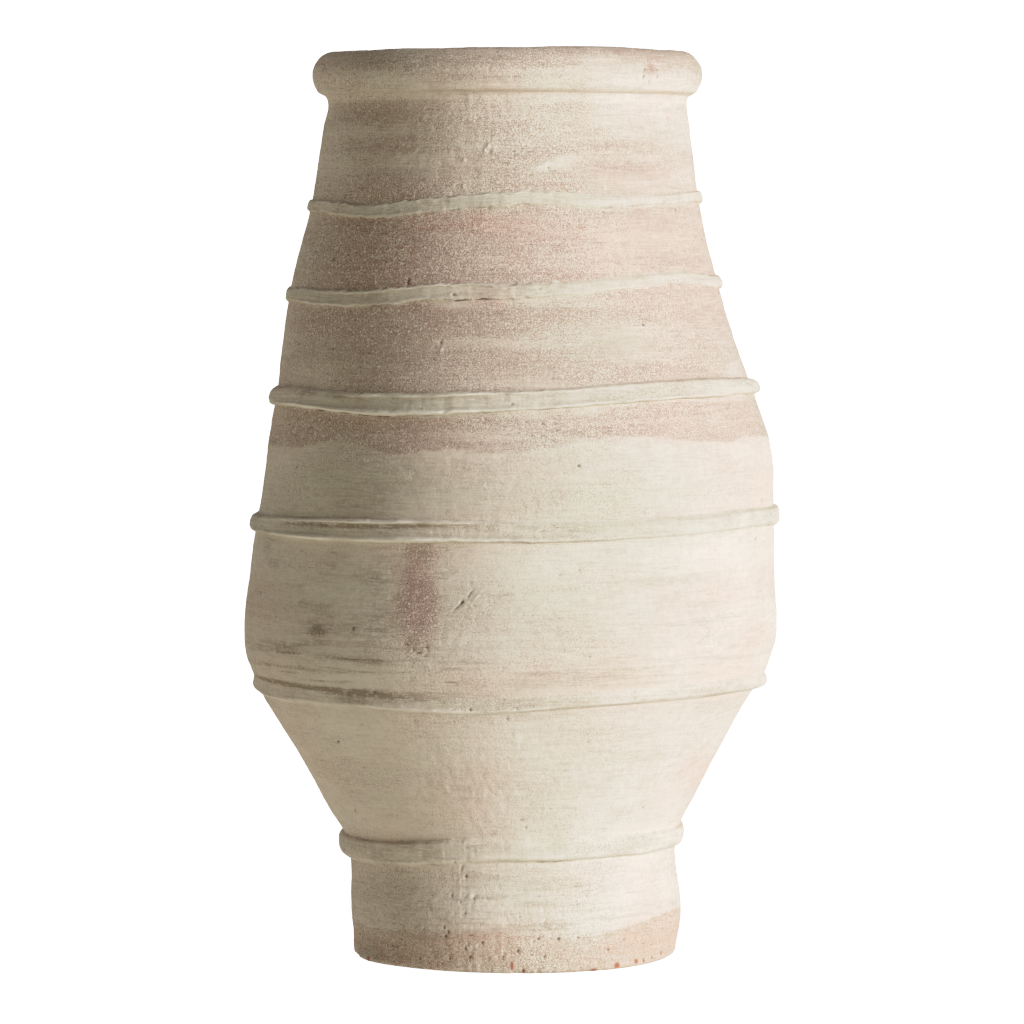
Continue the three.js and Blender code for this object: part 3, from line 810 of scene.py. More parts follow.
def fired_clay(name):
    """Body, slip, soot, stains, pores, grit, worn ridges and chips laid over each other from the inside
    out, with painted shade carried by the soot, rust and darkened-hollow masks, and on the bands' ridges a
    pale colour that is partly wear and partly painted highlight. Most masks are shifted by fine noise
    before they are used, so no edge is as smooth as the mesh."""
    clay = Recipe(name)
    sand = clay.noise(0.8, detail=2, roughness=0.6)
    tooth = clay.noise(2.2, detail=4, roughness=0.7)
    dust = clay.noise(5, detail=4)
    cloud = clay.noise(38, detail=3)
    streak = clay.noise(2.0, detail=3, stretch=(12, 12, 1))
    hairline = clay.noise(0.9, detail=2, stretch=(26, 26, 1))
    grain_size = clay.mask("grain")

    pink = clay.stirred("blush", cloud, 0.9)
    body = clay.mix(pink, TAN, MAUVE)
    body = clay.mix(clay.mask("wiped"), body, clay.mix(pink, DIRTY_TAN, TERRACOTTA))
    # Red brown fired body, and painted shade at the foot's lower left
    body = clay.mix(clay.stirred("rust_and_shade", dust, 0.5), body, RUST_AND_SHADE)

    slip = clay.mix(clay.stirred("green", cloud, 1.2), CREAM, GREEN_CREAM)
    slip = clay.mix(clay.times(pink, clay.scaled(pink, 0.76, 0.24)), slip, PINK_CREAM)

    gritty = clay.times(clay.swing(sand, 10), clay.scaled(grain_size, 0.75))
    combed_on = clay.scaled(clay.between(hairline, 0.6, 0.7), 0.35)
    combed_off = clay.scaled(clay.between(hairline, 0.4, 0.3), -0.25)
    brushed = clay.add(clay.swing(dust, 0.7), clay.swing(streak, 0.7), combed_on, combed_off)
    surface = clay.mix(clay.add(clay.mask("slip"), gritty, brushed, clamp=True), body, slip)

    scratch = clay.noise(1.1, detail=3, stretch=(11, 11, 1), roughness=0.7)
    # Soot, with the painted shade that the same mask carries
    drawn = clay.add(scratch, clay.swing(tooth, 0.7), clay.scaled(clay.mask("soot_and_shade"), 0.09))
    soot_and_shade_drawn = clay.times(clay.mask("soot_and_shade"), clay.between(drawn, 0.34, 0.64))
    surface = clay.mix(clay.scaled(soot_and_shade_drawn, 1.2), surface, SOOT_AND_SHADE)
    stain = clay.between(clay.noise(13, detail=6, roughness=0.75), 0.52, 0.75)
    for patches in (stain, clay.between(tooth, 0.53, 0.72)):
        surface = clay.mix(clay.scaled(patches, 0.22), surface, TAN)

    pore = clay.between(clay.noise(1.7, detail=2, stretch=(1.3, 1.3, 1), roughness=0.75), 0.655, 0.71)
    dash = clay.between(clay.noise(1.2, detail=2, stretch=(7, 7, 1)), 0.66, 0.71)
    amount = clay.add(clay.scaled(grain_size, 0.85, 0.05), clay.scaled(clay.mask("wiped"), 0.4), clamp=True)
    pore = clay.times(clay.math("MAXIMUM", pore, dash), amount)
    # The clay darkens in pits and hollow marks by their depth, and along the bands' creases.
    dark_hollows = clay.between(clay.stirred("dark_hollows", sand, 0.6), 0.15, 0.8)
    surface = clay.mix(clay.add(clay.times(pore, 0.7), clay.scaled(dark_hollows, 0.9), clamp=True), surface, PORE)

    salt = clay.times(clay.specks(2.6, 0.9, 0.5), clay.math("POWER", grain_size, 2.0))
    salt = clay.times(salt, clay.scaled(clay.mask("wiped"), -0.4, 0.65))
    surface = clay.mix(salt, surface, PALE)
    # Pale worn clay, and on the bands' ridges a partly painted highlight
    worn = clay.times(clay.stirred("worn", dust, 0.8), clay.mask("worn"))
    surface = clay.mix(worn, surface, PALE)
    ragged = clay.between(clay.stirred("chip", sand, 1.6), 0.35, 0.6)
    surface = clay.mix(clay.times(ragged, clay.between(clay.mask("chip"), 0.05, 0.2)), surface, BRICK)

    clay.put(surface, clay.shader.inputs["Base Color"])
    clay.put(clay.scaled(dust, 0.12, 0.86), clay.shader.inputs["Roughness"])
    clay.shader.inputs["Specular IOR Level"].default_value = 0.2
    bump = clay.tree.nodes.new("ShaderNodeBump")
    bump.inputs["Strength"].default_value = 0.8
    bump.inputs["Distance"].default_value = 0.5 * MM
    sharp = clay.times(sand, clay.scaled(grain_size, 0.7, 0.1))
    brush = clay.add(clay.scaled(streak, 0.6), clay.scaled(hairline, 0.35))
    height = clay.add(sharp, brush, clay.scaled(dust, 0.8), clay.scaled(tooth, 0.9))
    clay.put(clay.math("SUBTRACT", height, pore), bump.inputs["Height"])
    clay.put(bump.outputs[0], clay.shader.inputs["Normal"])
    return clay.material


wall_clay = fired_clay("wall_clay")
print("mixed", wall_clay.name, "with", len(wall_clay.node_tree.nodes), "nodes")

# %% [markdown]
# ## The courses of wall
# A course's section runs up its outer face, over its top with the groove for the next course, down its
# inner face and along its foot with the tongue that sits in the groove below. Only the outer face is seen
# close to, so its rows lie densest. The inside keeps the wide spiral of the potter's fingers.

# %% Relief of the thrown wall
FILLET = 2.4  # how far the clay in the corner under the rim stands out
FILLET_TALL = 2.6
FOOT_SPREAD = [
    # [degrees, millimetres]: how far the soft foot has spread on the ground it dried on
    (-170, 2), (-152, 5), (-128, 0.5), (-100, -0.5), (-76, 2), (-57, 5.5), (-38, 5.5), (-20, 3), (0, 0.5),
    (90, 1), (150, 1),
]
FOOT_SPREAD_TALL = 12
FINGER_RISE = 17  # how far the potter's fingers climb in one turn, inside


def wall_relief(angle, level):
    """Height of the marks on the outer face, in millimetres: swells from the hands, ridges from the
    wheel, grain, the spread foot and the single marks, less the hollow under the rim and the pits."""
    swells = 0.8 * lumps(angle, level, 170, 62, 1) + 0.4 * lumps(angle, level, 60, 34, 2)
    ridges = 0.26 * lumps(angle, level, 190, 11, 3) + 0.12 * lumps(angle, level, 110, 5, 4)
    coarse = 1 + smooth_step(0.1, 0.7, rough(angle, level, 70, 50, 9))
    sandy = 0.10 * rough(angle, level, 6, 3.6, 5) * coarse
    dabbed = smooth_step(-0.1, 0.6, rough(angle, level, 60, 40, 15))
    dabs = 0.11 * rough(angle, level, 4.5, 9, 14, 2) * dabbed
    necking = 1.9 * spot(angle, level, (180, 600), (190, 12))
    fillet = FILLET * np.exp(-(TOP_JOINT - level) / FILLET_TALL)
    spread = around(angle, FOOT_SPREAD, 8) * np.exp(-((level / FOOT_SPREAD_TALL) ** 2))
    raised = swells + ridges + sandy + dabs + spread + fillet + marks(angle, level)
    return raised - necking - torn_grit(angle, level)


def torn_grit(angle, level):
    """Depth of the pits that grit left as it was dragged out: few large ones, many small ones, and more
    of both on the foot."""
    foot = smooth_step(80, 40, level)
    few = 0.9 * pits(angle, level, 34, 1.6, 0.4, 6) + 0.4 * pits(angle, level, 11, 1.1, 0.4, 7)
    many = 0.7 * pits(angle, level, 9, 1.1, 0.45, 10) + 0.4 * pits(angle, level, 5, 0.9, 0.4, 11)
    return few + foot * many


def inner_relief(angle, level):
    """Finger ridges climbing in a spiral, and a ridge of pressed clay over each joint."""
    turns = level / FINGER_RISE - angle / (2 * math.pi)
    spiral = 0.7 * np.sin(2 * math.pi * turns) + 0.8 * lumps(angle, level, 90, 30, 8)
    pressed = sum(2.2 * np.exp(-(((level - joint) / 7) ** 2)) for joint in JOINTS[1:-1])
    return -spiral - pressed


def masks_at(angle, level, outside=1.0):
    """The clay's masks at each corner. Where `outside` is 0, the slip is a quarter as thick, and
    there are no chips, darkened hollows or worn ridges."""
    single = marks(angle, level)
    torn = 0.7 * torn_grit(angle, level) - 0.9 * np.minimum(single, 0)
    return {
        "slip": slip_cover(angle, level) * (0.25 + 0.75 * outside),
        "blush": blush(angle, level),
        "rust_and_shade": rust_and_shade(angle, level),
        "green": green(angle, level),
        "soot_and_shade": soot_and_shade(angle, level),
        "grain": grain(angle, level),
        "wiped": wiped_foot(angle, level),
        "chip": chips(angle, level) * outside,
        # Pits and hollow marks are darkened by their depth.
        "dark_hollows": np.clip(torn, 0, 0.9) * outside,
        "worn": np.clip(1.2 * single, 0, 0.8) * outside,
    }


# %% Throw the courses
ROW_STEP = 1.25
INNER_STEP = 6
KEY_HALF = 2.5  # half the width of a groove, and of the tongue in it


def steps(low, high, step):
    """Heights from low to high about a step apart, both ends included."""
    return np.linspace(low, high, max(2, round((high - low) / step) + 1))


def course(name, low, high):
    """The closed section of one course, as rows of radius and height round the jar, and 1 for its outer
    rows."""
    angle = column_angles[None, :]
    up, down = steps(low, high, ROW_STEP)[:, None], steps(high, low, INNER_STEP)[:, None]
    outer = outer_radius(*np.broadcast_arrays(angle, up)) + wall_relief(angle, up)
    inner = inner_radius(*np.broadcast_arrays(angle, down)) + inner_relief(angle, down)
    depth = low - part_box(name)[0].z / MM
    middle_high, middle_low = (outer[-1] + inner[0]) / 2, (outer[0] + inner[-1]) / 2
    groove = [middle_high + KEY_HALF, middle_high, middle_high - KEY_HALF]
    tongue = [middle_low - KEY_HALF, middle_low, middle_low + KEY_HALF]
    radius = np.concatenate([outer, groove, inner, tongue])
    level = np.concatenate([up[:, 0], [high, high - depth, high], down[:, 0], [low, low - depth, low]])
    outside = (np.arange(len(level)) < len(up)) * 1.0
    return radius, np.broadcast_to(level[:, None], radius.shape), outside[:, None]


for name, low, high in zip(WALLS, JOINTS, JOINTS[1:]):
    radius, level, outside = course(name, low, high)
    masks = masks_at(column_angles[None, :], level, outside)
    clay_object(name + "_clay", name, radius, level, masks, wall_clay)

# %% [markdown]
# ## The bands
# A band is a rope of soft clay, pressed round the joint and wiped with a wet thumb. Here and there it
# stays a round roll. In front the thumb has flattened it to a strap, squeezed a thin ridge out along
# either edge, or eased its upper side into the wall. The solids hold each band's path, width and
# thickness, and a table says how it was pressed at a few places round the jar. The fine surface sinks
# into the wall at both edges, so that the edge seen is where the two really meet.

# %% Read a band's path


def band_course(name):
    """Height of a band's middle, half its width and its thickness, all the way round, from its solid's
    columns."""
    points = np.array([vertex.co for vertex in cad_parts[name].data.vertices]) / MM
    degrees = np.round(np.degrees(np.arctan2(points[:, 1], points[:, 0])), 1) % 360
    columns = np.unique(degrees)
    low = np.array([points[degrees == d, 2].min() for d in columns])
    high = np.array([points[degrees == d, 2].max() for d in columns])
    reach = np.array([np.hypot(*points[degrees == d, :2].T).max() for d in columns])
    middle = (low + high) / 2
    crest = reach - outer_radius(np.radians(columns), middle)
    rows = np.stack([middle, (high - low) / 2, crest])
    fine = np.fft.irfft(np.fft.rfft(rows), CURVE_SAMPLES) * CURVE_SAMPLES / len(columns)
    return [np.interp(column_angles, curve_angles, row, period=2 * math.pi) for row in fine]


# %% How each band was pressed
BAND_SHAPES = {
    # Round the jar: degrees; width as a share of the solid's; height of the flat face, how much thicker it
    # is at the lower edge than at the middle, and the heights of the lower and the upper ridge, all as
    # shares of the solid's thickness; flatness, where 2 is a round roll and 6 a strap; how far down the
    # upper side starts to sink into the wall, where 1 is its edge and -1 the lower edge; how many
    # millimetres the band lies above the solid
    "foot_band": [
        (180, 0.85, 0.85, 0.2, 0, 0, 2.3, 0.9, -4.5), (-145, 0.9, 0.8, 0.1, 0.1, 0, 3, 0.9, -1.5),
        (-115, 1, 0.75, 0, 0.25, 0, 4, 0.6, 0), (-80, 1, 0.7, 0, 0.2, 0, 4, -0.1, 0),
        (-50, 1, 0.75, 0, 0.1, 0, 3.5, -0.2, 0), (-20, 0.9, 0.8, 0.1, 0, 0, 2.6, 0.5, -1.5),
        (0, 0.85, 0.85, 0.2, 0, 0, 2.2, 0.9, -3), (90, 1, 0.8, 0.1, 0.2, 0.1, 3, 0.5, 0),
    ],
    "keel_band": [
        (180, 1, 0.6, 0.6, 0, 0, 2.6, -0.9, 0), (-140, 1, 0.42, 0.3, 0.25, 0, 3, -0.9, 0),
        (-95, 1, 0.38, 0.1, 0.35, 0, 4, -0.9, 0), (-60, 1, 0.5, 0.1, 0.15, 0, 3.5, -0.6, 0),
        (-25, 0.9, 0.65, 0.4, 0, 0, 2.8, 0.1, -0.5), (0, 0.75, 0.85, 0.7, 0, 0, 2.4, 0.8, -2.5),
        (90, 1, 0.7, 0.3, 0.2, 0, 3, -0.3, 0),
    ],
    "belly_band": [
        (180, 0.7, 0.85, 0, 0, 0, 2.3, 0.9, -1.5), (-155, 0.9, 0.7, 0.1, 0.2, 0.15, 3, 0.9, -0.5),
        (-135, 1, 0.42, 0, 0.6, 0.5, 5, 0.9, 0), (-110, 1, 0.36, 0, 0.65, 0.6, 6, 0.9, 0),
        (-90, 1, 0.4, 0, 0.35, 0.25, 6, 0.4, 0), (-60, 1, 0.42, 0, 0.15, 0.05, 5, 0, 0),
        (-25, 0.95, 0.6, 0, 0.1, 0, 3, 0.3, -0.5), (0, 0.85, 0.85, 0, 0, 0, 2.3, 0.9, -1.5),
        (90, 1, 0.7, 0, 0.3, 0.2, 3, 0.8, 0),
    ],
    "shoulder_band": [
        (180, 0.75, 0.9, 0, 0, 0, 2.3, 0.9, 0), (-155, 0.95, 0.7, 0, 0.35, 0, 3, 0.9, 0),
        (-135, 1, 0.52, 0, 0.6, 0.05, 5, 0.6, 0), (-118, 1, 0.45, 0, 0.6, 0.6, 6, 0.9, 0),
        (-98, 1, 0.45, 0, 0.5, 0.5, 6, 0.9, 0), (-78, 1, 0.5, 0, 0.25, 0.1, 6, 0.6, 0),
        (-45, 0.95, 0.6, 0, 0.2, 0.05, 4, 0.7, 0.5), (-20, 0.8, 0.7, 0, 0.05, 0, 2.6, 0.9, 1.5),
        (0, 0.72, 0.8, 0, 0, 0, 2.3, 0.9, 2), (90, 1, 0.7, 0, 0.3, 0.1, 3, 0.9, 0),
    ],
    "neck_band": [
        (180, 0.8, 0.62, 0, 0, 0, 2.4, 0.9, 0), (-150, 1, 0.5, 0, 0.2, 0.1, 4, 0.9, 0),
        (-125, 1.05, 0.4, 0, 0.14, 0.35, 6, 0.9, 0), (-95, 1, 0.42, 0, 0.1, 0.35, 6, 0.7, 0),
        (-60, 1, 0.38, 0, 0.05, 0.05, 5, -0.2, 0), (-20, 0.9, 0.55, 0, 0, 0, 3, 0.5, 0),
        (0, 0.85, 0.8, 0, 0, 0, 2.4, 0.9, 0), (90, 1, 0.6, 0, 0.1, 0.1, 4, 0.9, 0),
    ],
    "collar_band": [
        (180, 0.85, 0.7, 0, 0, 0, 2.4, 0.9, 0.5), (-150, 1, 0.5, 0, 0.14, 0.1, 4, 0.9, 0),
        (-120, 1.05, 0.4, 0, 0.1, 0.2, 6, 0.9, 0), (-85, 1.05, 0.42, 0, 0.05, 0.4, 6, 0.6, 0),
        (-55, 1, 0.38, 0, 0, 0.1, 5, 0, 0), (-20, 0.9, 0.55, 0, 0, 0, 3, 0.5, 0),
        (0, 0.85, 0.8, 0, 0, 0, 2.4, 0.9, 0), (90, 1, 0.6, 0, 0.1, 0.1, 4, 0.9, 0),
    ],
}
EDGES = {
    # how far slip is smeared below the band, and how ragged its edges are
    "foot_band": (0.8, 0.6), "keel_band": (0.6, 0.5), "belly_band": (1.2, 0.8), "shoulder_band": (1.4, 0.9),
    "neck_band": (1.2, 2.2), "collar_band": (1.0, 1.8),
}
EDGE_MARKS = {
    # [degrees, half length in degrees, strength] of dark lines along either edge, partly cracks and partly
    # painted shade in the creases, of places where the slip has run further down, and of painted shade in
    # the hollow of the face under the upper ridge
    "foot_band": {
        "high_crack_and_shade": [(-142, 20, 0.5)], "low_crack_and_shade": [(-72, 22, 0.6)], "hollow_shade": [(-154, 10, 0.25)],
    },
    "keel_band": {"low_crack_and_shade": [(-62, 24, 0.35)]},
    "belly_band": {
        "high_crack_and_shade": [(-136, 30, 0.8)], "low_crack_and_shade": [(-75, 10, 0.3)], "run": [(-48, 14, 3)],
        "hollow_shade": [(-126, 24, 0.75), (-90, 14, 0.15)],
    },
    "shoulder_band": {
        "high_crack_and_shade": [(-112, 12, 0.4)], "low_crack_and_shade": [(-126, 20, 1.2), (-84, 6, 0.5)],
        "run": [(-82, 15, 7), (-20, 20, 4)], "hollow_shade": [(-140, 14, 0.5), (-108, 10, 0.4)],
    },
    "neck_band": {
        "high_crack_and_shade": [(-132, 6, 0.8)], "low_crack_and_shade": [(-101, 8, 1.0), (-124, 8, 0.6)], "run": [(-78, 12, 3)],
    },
    "collar_band": {
        "high_crack_and_shade": [(-139, 7, 0.9)], "low_crack_and_shade": [(-60, 5, 0.5), (-112, 14, 0.5)], "run": [(-55, 10, 3)],
    },
}


def band_shape(name):
    """The table's columns as smooth curves round the jar."""
    degrees, *columns = np.array(BAND_SHAPES[name]).T
    return [around(column_angles, zip(degrees, column), softness=12) for column in columns]


def along(name, kind, seed):
    """How strong a kind of edge mark is at each column: the table's stretches, with a random few behind,
    all of them broken up along their length."""
    behind = np.sin(column_angles) > 0
    total = 0.35 * smooth_step(0.3, 0.8, lumps(column_angles, 0 * column_angles, 70, 9, seed)) * behind
    for degrees, half, strength in EDGE_MARKS[name].get(kind, []):
        away = (np.degrees(column_angles) - degrees + 180) % 360 - 180
        total = total + strength * np.exp(-((away / half) ** 4))
    return total


# %% Roll the bands
ROLL_ROWS = 52
SMEAR_ROWS = 7
BACK_ROWS = 4
SINK = 0.7  # how far a band's edges run under the wall's surface
TUCK = 0.6  # how far beyond its edges the front reaches to do so
BACK_DEPTH = 1.6
BACK_ACROSS = 9  # the back's place across the band, far from every crease
SHEET = 0.4  # thickness of smeared slip
LOW_RIDGE = (-0.76, 0.25)  # place across the band and half width of the ridge along its lower edge
HIGH_RIDGE = (0.78, 0.18)
# HOLLOW is where painted shade darkens the face under the upper ridge.
HOLLOW = (0.42, 0.24)  # the groove under the upper ridge, where dirt gathers


def ridge(s, place, wander=0.0):
    """exp(-d^2), where d is 1 at the given half width from the crest."""
    return np.exp(-(((s - place[0] - wander) / place[1]) ** 2))


def reached(rows, by):
    """Rows carried one further at either end: a step less before the first, a step more after the
    last."""
    return np.concatenate([rows[:1] - by, rows, rows[-1:] + by])


def band_front(name, order):
    """Rows of a band's front, from under its lower edge to under its upper one: height, standing out, and
    the place s across the band, -1 at its lower edge, 1 at its upper one, and below -1 on the smeared
    slip. A strap sqrt(1 - |s|^flatness) high carries a face and two ridges, and its upper side eases into
    the wall."""
    middle, half, crest = band_course(name)
    width, face, lean, low_ridge, high_ridge, flatness, bevel, shift = band_shape(name)
    smeared, ragged = EDGES[name]
    angle, flat, seed = column_angles, np.zeros(AROUND), 200 + 20 * order

    def wave(across, k):
        """Lumps along the band, about so many millimetres long."""
        return lumps(angle, flat, across, 9, seed + k)

    def fringe(k):
        """How far an edge wanders: in long waves, short ones and shreds."""
        shreds = rough(angle, flat, 5.5, 9, seed + 40 + k, 2)
        return 0.09 * half * wave(55, k) + ragged * (0.45 * wave(15, 20 + k) + 0.34 * shreds)

    upper, lower = half * width + fringe(1), half * width + fringe(2)
    smear = np.maximum(smeared * (1 + 0.7 * wave(20, 5)) + along(name, "run", seed + 6), 0.3)

    s = np.sin(np.linspace(-math.pi / 2, math.pi / 2, ROLL_ROWS))[:, None]
    strap = np.sqrt(np.clip(1 - np.abs(s) ** flatness, 0, 1)) * smooth_step(1.0, bevel, s)
    worn = np.clip(1 + 0.7 * wave(24, 9), 0.2, 1.6)
    wander = 0.08 * wave(28, 12)
    ridges = low_ridge * ridge(s, LOW_RIDGE, wander) * worn
    ridges = ridges + high_ridge * ridge(s, HIGH_RIDGE, wander) * worn[::-1]
    face = face * (1 + 0.16 * wave(50, 0)) * (1 - lean * s)
    out = crest * strap * (face + ridges)
    thumbed = 0.14 * rough(angle + 0 * s, 20 + 8 * s + flat, 40, 1.6, seed + 10, 2)
    thumbed = thumbed + 0.15 * rough(angle, flat, 6, 9, seed + 13, 2)
    out = out + thumbed * smooth_step(0, 1, out)

    t = np.linspace(1, 0, SMEAR_ROWS, endpoint=False)[:, None]
    sheet = SHEET * np.sqrt(np.clip(1 - t**3, 0, 1)) * (0.8 + 0.4 * wave(16, 11))
    out = np.concatenate([sheet, np.maximum(out, SHEET * smooth_step(0.2, -0.8, s))])
    across = np.concatenate([-1 - t * smear, s + 0 * angle])
    rise = np.concatenate([-lower - t * smear, np.where(s < 0, s * lower, s * upper)]) + shift
    # The ridges are painted paler: partly worn clay, partly painted highlight where the floor's light
    # catches them.
    pale = np.concatenate([0 * sheet, np.clip(2.2 * ridges, 0, 1)])
    out = np.concatenate([np.full((1, AROUND), -SINK), out, np.full((1, AROUND), -SINK)])
    out[-2] = -SINK / 2
    return middle + reached(rise, TUCK), out, reached(across, 0.1), reached(pale, 0)


def band(name, order):
    """The front laid on the wall, closed by a back that lies just under the wall's surface."""
    level, out, across, pale = band_front(name, order)
    back = np.linspace(0, 1, BACK_ROWS)[:, None]
    level = np.concatenate([level, level[-1] * (1 - back) + level[0] * back])
    out, across, pale = (
        np.concatenate([rows, np.full((BACK_ROWS, AROUND), value)])
        for rows, value in ((out, -BACK_DEPTH), (across, BACK_ACROSS), (pale, 0.0))
    )
    angle = np.broadcast_to(column_angles, level.shape)
    radius = outer_radius(angle, level) + wall_relief(angle, level) + out
    return radius, level, out, across, pale


def band_masks(name, order, level, out, across, pale):
    """The wall's masks, with more slip over the band the more it stands out, dark lines in its creases that
    are partly cracks and partly painted shade, painted shade in the hollow under its upper ridge, and pale
    ridges that are partly worn clay and partly painted highlight."""
    angle, seed = np.broadcast_to(column_angles, level.shape), 400 + 10 * order
    thick = smooth_step(0.02, 0.6, out)
    masks = masks_at(angle, level)
    smudged = 0.06 + 0.22 * rough(angle, level, 30, 8, 94) + 0.12 * rough(angle, 0 * level, 5, 9, 95, 2)
    own = {
        "slip": 0.92 + 0.15 * rough(angle, level, 60, 6, 91),
        "blush": 0.6 * masks["blush"],
        "green": 0.68 - 0.4 * smooth_step(250, 150, level) + 0.3 * rough(angle, level, 60, 8, 92),
        "grain": 0.22 + 0.5 * smooth_step(0.15, 0.8, rough(angle, level, 45, 8, 93)),
        # The hollow under the upper ridge is darkened with painted shade.
        "soot_and_shade": masks["soot_and_shade"] + smudged + along(name, "hollow_shade", seed + 3) * ridge(across, HOLLOW),
    }
    for mask, values in own.items():
        masks[mask] = np.clip(masks[mask] * (1 - thick) + values * thick, 0, 1)
    broken = np.clip(0.5 + 0.9 * lumps(angle, 0 * level, 8, 9, seed), 0, 1)
    low_crease = (across > -1.6) * smooth_step(-0.86, -0.97, across) + 0.25 * (across < -1.6)
    high_crease = smooth_step(0.9, 0.98, across)
    # Dark lines along the creases: partly cracks, partly painted shade.
    crack_and_shade = along(name, "low_crack_and_shade", seed + 1) * low_crease
    crack_and_shade = crack_and_shade + along(name, "high_crack_and_shade", seed + 2) * high_crease
    masks["dark_hollows"] = np.clip(masks["dark_hollows"] + 0.9 * crack_and_shade * broken, 0, 0.9)
    # Pale ridges: partly worn clay, partly painted highlight.
    masks["worn"] = np.maximum(masks["worn"], pale)
    return masks


for order, name in enumerate(BANDS):
    radius, level, out, across, pale = band(name, order)
    masks = band_masks(name, order, level, out, across, pale)
    clay_object(name + "_clay", name, radius, level, masks, wall_clay)

# %% [markdown]
# ## Floor and rim
# The floor disc was beaten out flat and stands on the ground, so its underside stays flat while its edge
# is worn and chipped. The rim is a thick roll: each side of it is part of an oval that leaves the wall's
# edge and swells past it up to the crown.

# %% Beat out the floor
EDGE_ROUND = 3.5
TURN_ROWS = 6
UNDER_ROWS = 24
INSIDE_ROWS = 16
HUB = 0.05  # share of the disc's radius where the fan round the axis starts
UNDER_REACH = 0.97  # and where the underside's last row lies, next to the rounded edge
FLOOR_KEY = 4  # how deep the groove in the floor's edge is


def chipped(angle, level):
    """How far the foot's lower edge is knocked back: bites of random size near the ground."""
    bites = smooth_step(0.25, 0.8, rough(angle, level * 0, 26, 9, 61))
    bites = bites + 0.6 * pits(angle, level * 0, 23, 6, 0.4, 62)
    return 1.6 * bites * np.exp(-((level / 3.5) ** 2))


def floor_rows():
    """Section of the disc from the middle of its underside, round its edge, to the middle of its top."""
    angle = column_angles[None, :]
    top = JOINTS[0]
    edge = np.linspace(0, math.pi / 2, TURN_ROWS)[:, None]
    turn_level = EDGE_ROUND * (1 - np.cos(edge))
    side_level = steps(EDGE_ROUND, top, ROW_STEP)[:, None]
    outside = outer_radius(*np.broadcast_arrays(angle, side_level))
    turn = outside[:1] - EDGE_ROUND * (1 - np.sin(edge))
    under = np.linspace(HUB, UNDER_REACH, UNDER_ROWS)[:, None] * turn[:1]
    side = outside[1:]
    inner = inner_radius(*np.broadcast_arrays(angle, inner_levels[:1, None]))
    middle = (side[-1:] + inner) / 2
    key = np.concatenate([middle + KEY_HALF, middle, middle - KEY_HALF])
    inside = np.linspace(1, HUB, INSIDE_ROWS)[:, None] * inner
    radius = np.concatenate([under, turn, side, key, inside])
    key_level = [top, top - FLOOR_KEY, top]
    level = [np.zeros(UNDER_ROWS), turn_level[:, 0], side_level[1:, 0], key_level, np.full(INSIDE_ROWS, top)]
    level = np.concatenate(level)
    level = np.broadcast_to(level[:, None], radius.shape)
    outer_part = slice(len(under), len(under) + len(turn) + len(side))
    worn = np.zeros(radius.shape)
    worn[outer_part] = wall_relief(angle, level[outer_part]) - chipped(angle, level[outer_part])
    return radius + worn, level


radius, level = floor_rows()
masks = masks_at(column_angles[None, :], level)
poles = (0, JOINTS[0])
clay_object("floor_disc_clay", "floor_disc", radius, level, masks, wall_clay, poles)

# %% Roll the rim
SIDE_ROWS = 30
RIM_SAG = [
    # [degrees, millimetres]: how far the soft roll has settled below the solid's crown
    (-165, 2.2), (-148, 2.8), (-126, 2.4), (-94, 2.2), (-79, 1.1), (-64, 0.8), (-49, 1.3), (-29, 2.6),
    (-13, 1.8), (0, 0.3), (60, 1), (120, 2),
]


def rim_reach():
    """How far the solid roll stands out past the wall and in over it."""
    points = np.array([vertex.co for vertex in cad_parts["rim_roll"].data.vertices]) / MM
    radii = np.hypot(points[:, 0], points[:, 1])
    upper = points[:, 2] > TOP_JOINT + 1
    outside = np.abs(outer_waves[-1, 0])
    inside = np.abs(inner_waves[-1, 0])
    lean = 2 * np.abs(outer_waves[-1, 1])
    return radii.max() - outside - lean, inside - radii[upper].min() - lean


def roll_side(overhang, edge):
    """One side of the roll, as distances out from the wall's middle, heights over the seat and turns
    round an oval of half width edge + overhang. The oval lies low enough that it passes through the wall's
    edge at its seat, and is as tall as the rim."""
    reach = edge + overhang
    start = math.acos(edge / reach)
    half_height = (RIM_TOP - TOP_JOINT) / (1 + math.sin(start))
    turn = np.linspace(-start, math.pi / 2, SIDE_ROWS)
    return reach * np.cos(turn), half_height * (np.sin(turn) + math.sin(start)), turn


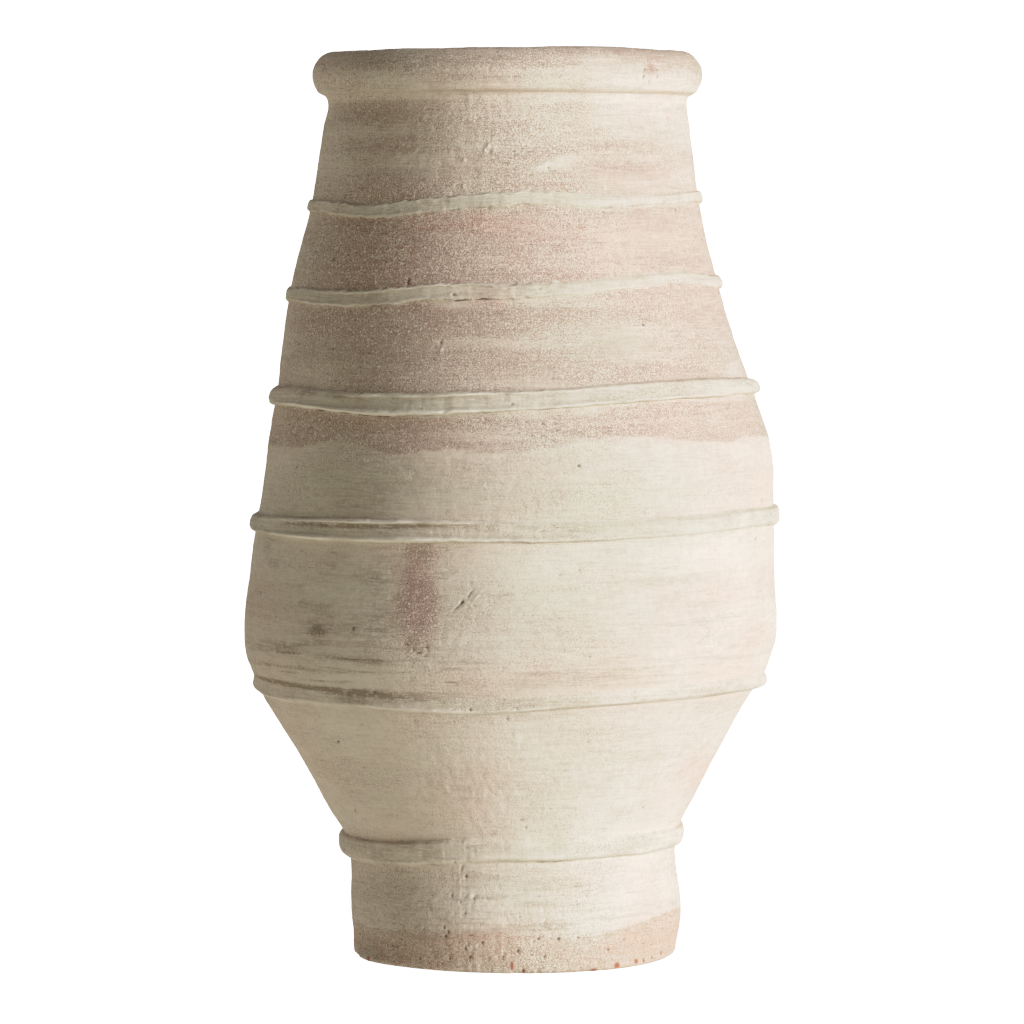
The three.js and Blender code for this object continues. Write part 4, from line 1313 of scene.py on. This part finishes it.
def rim_rows():
    """Both sides of the roll, with its tongue below, standing on the wall's middle line."""
    angle = column_angles
    seat = np.full(AROUND, TOP_JOINT)
    outer, inner = outer_radius(angle, seat), inner_radius(angle, seat)
    middle, edge = (outer + inner) / 2, float((outer - inner).mean() / 2)
    out_reach, in_reach = rim_reach()
    x_out, z_out, turn_out = roll_side(out_reach, edge)
    x_in, z_in, turn_in = roll_side(in_reach, edge)
    side = np.concatenate([x_out, -x_in[-2::-1]])[:, None]
    rise = np.concatenate([z_out, z_in[-2::-1]])[:, None]
    turn = np.concatenate([turn_out, math.pi - turn_in[-2::-1]])[:, None]
    level = TOP_JOINT + rise + 0 * angle
    wide = angle[None, :] + 0 * level
    apart = level + 90 * np.sign(side)  # so that the two sides have different dents
    dent = 0.6 * lumps(wide, apart, 70, 16, 71) + 0.3 * lumps(wide, apart, 26, 9, 72)
    dent = dent + 0.09 * rough(wide, level, 5, 3.4, 73) - 0.6 * pits(wide, level, 22, 1.8, 0.4, 74)
    dent = dent * smooth_step(0, 5, rise) + marks(wide, level) * (side > 0)
    fillet = wall_relief(angle, seat) * smooth_step(9, 0, rise) * (side > 0)
    radius = middle + side + dent * np.cos(turn) + fillet
    level = level + dent * np.sin(turn) - around(angle, RIM_SAG, 8) * smooth_step(0, 6, rise)
    depth = TOP_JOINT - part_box("rim_roll")[0].z / MM
    key = np.stack([middle - KEY_HALF, middle, middle + KEY_HALF])
    key_level = np.stack([seat, seat - depth, seat])
    return np.concatenate([radius, key]), np.concatenate([level, key_level])


radius, level = rim_rows()
crown = smooth_step(RIM_TOP - 7, RIM_TOP - 3, level)  # hands have rubbed it clean
masks = masks_at(column_angles[None, :], level)
# The crown's pits and hollows are left undarkened.
masks["dark_hollows"] = masks["dark_hollows"] * (1 - crown)
clay_object("rim_roll_clay", "rim_roll", radius, level, masks, wall_clay)

# %% Finish
shown_box = [list(corner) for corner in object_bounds()]
for kind, box in (("solids", solid_box), ("shown", shown_box)):
    print(kind, [round(v / MM) for v in sum(box, [])], "mm")
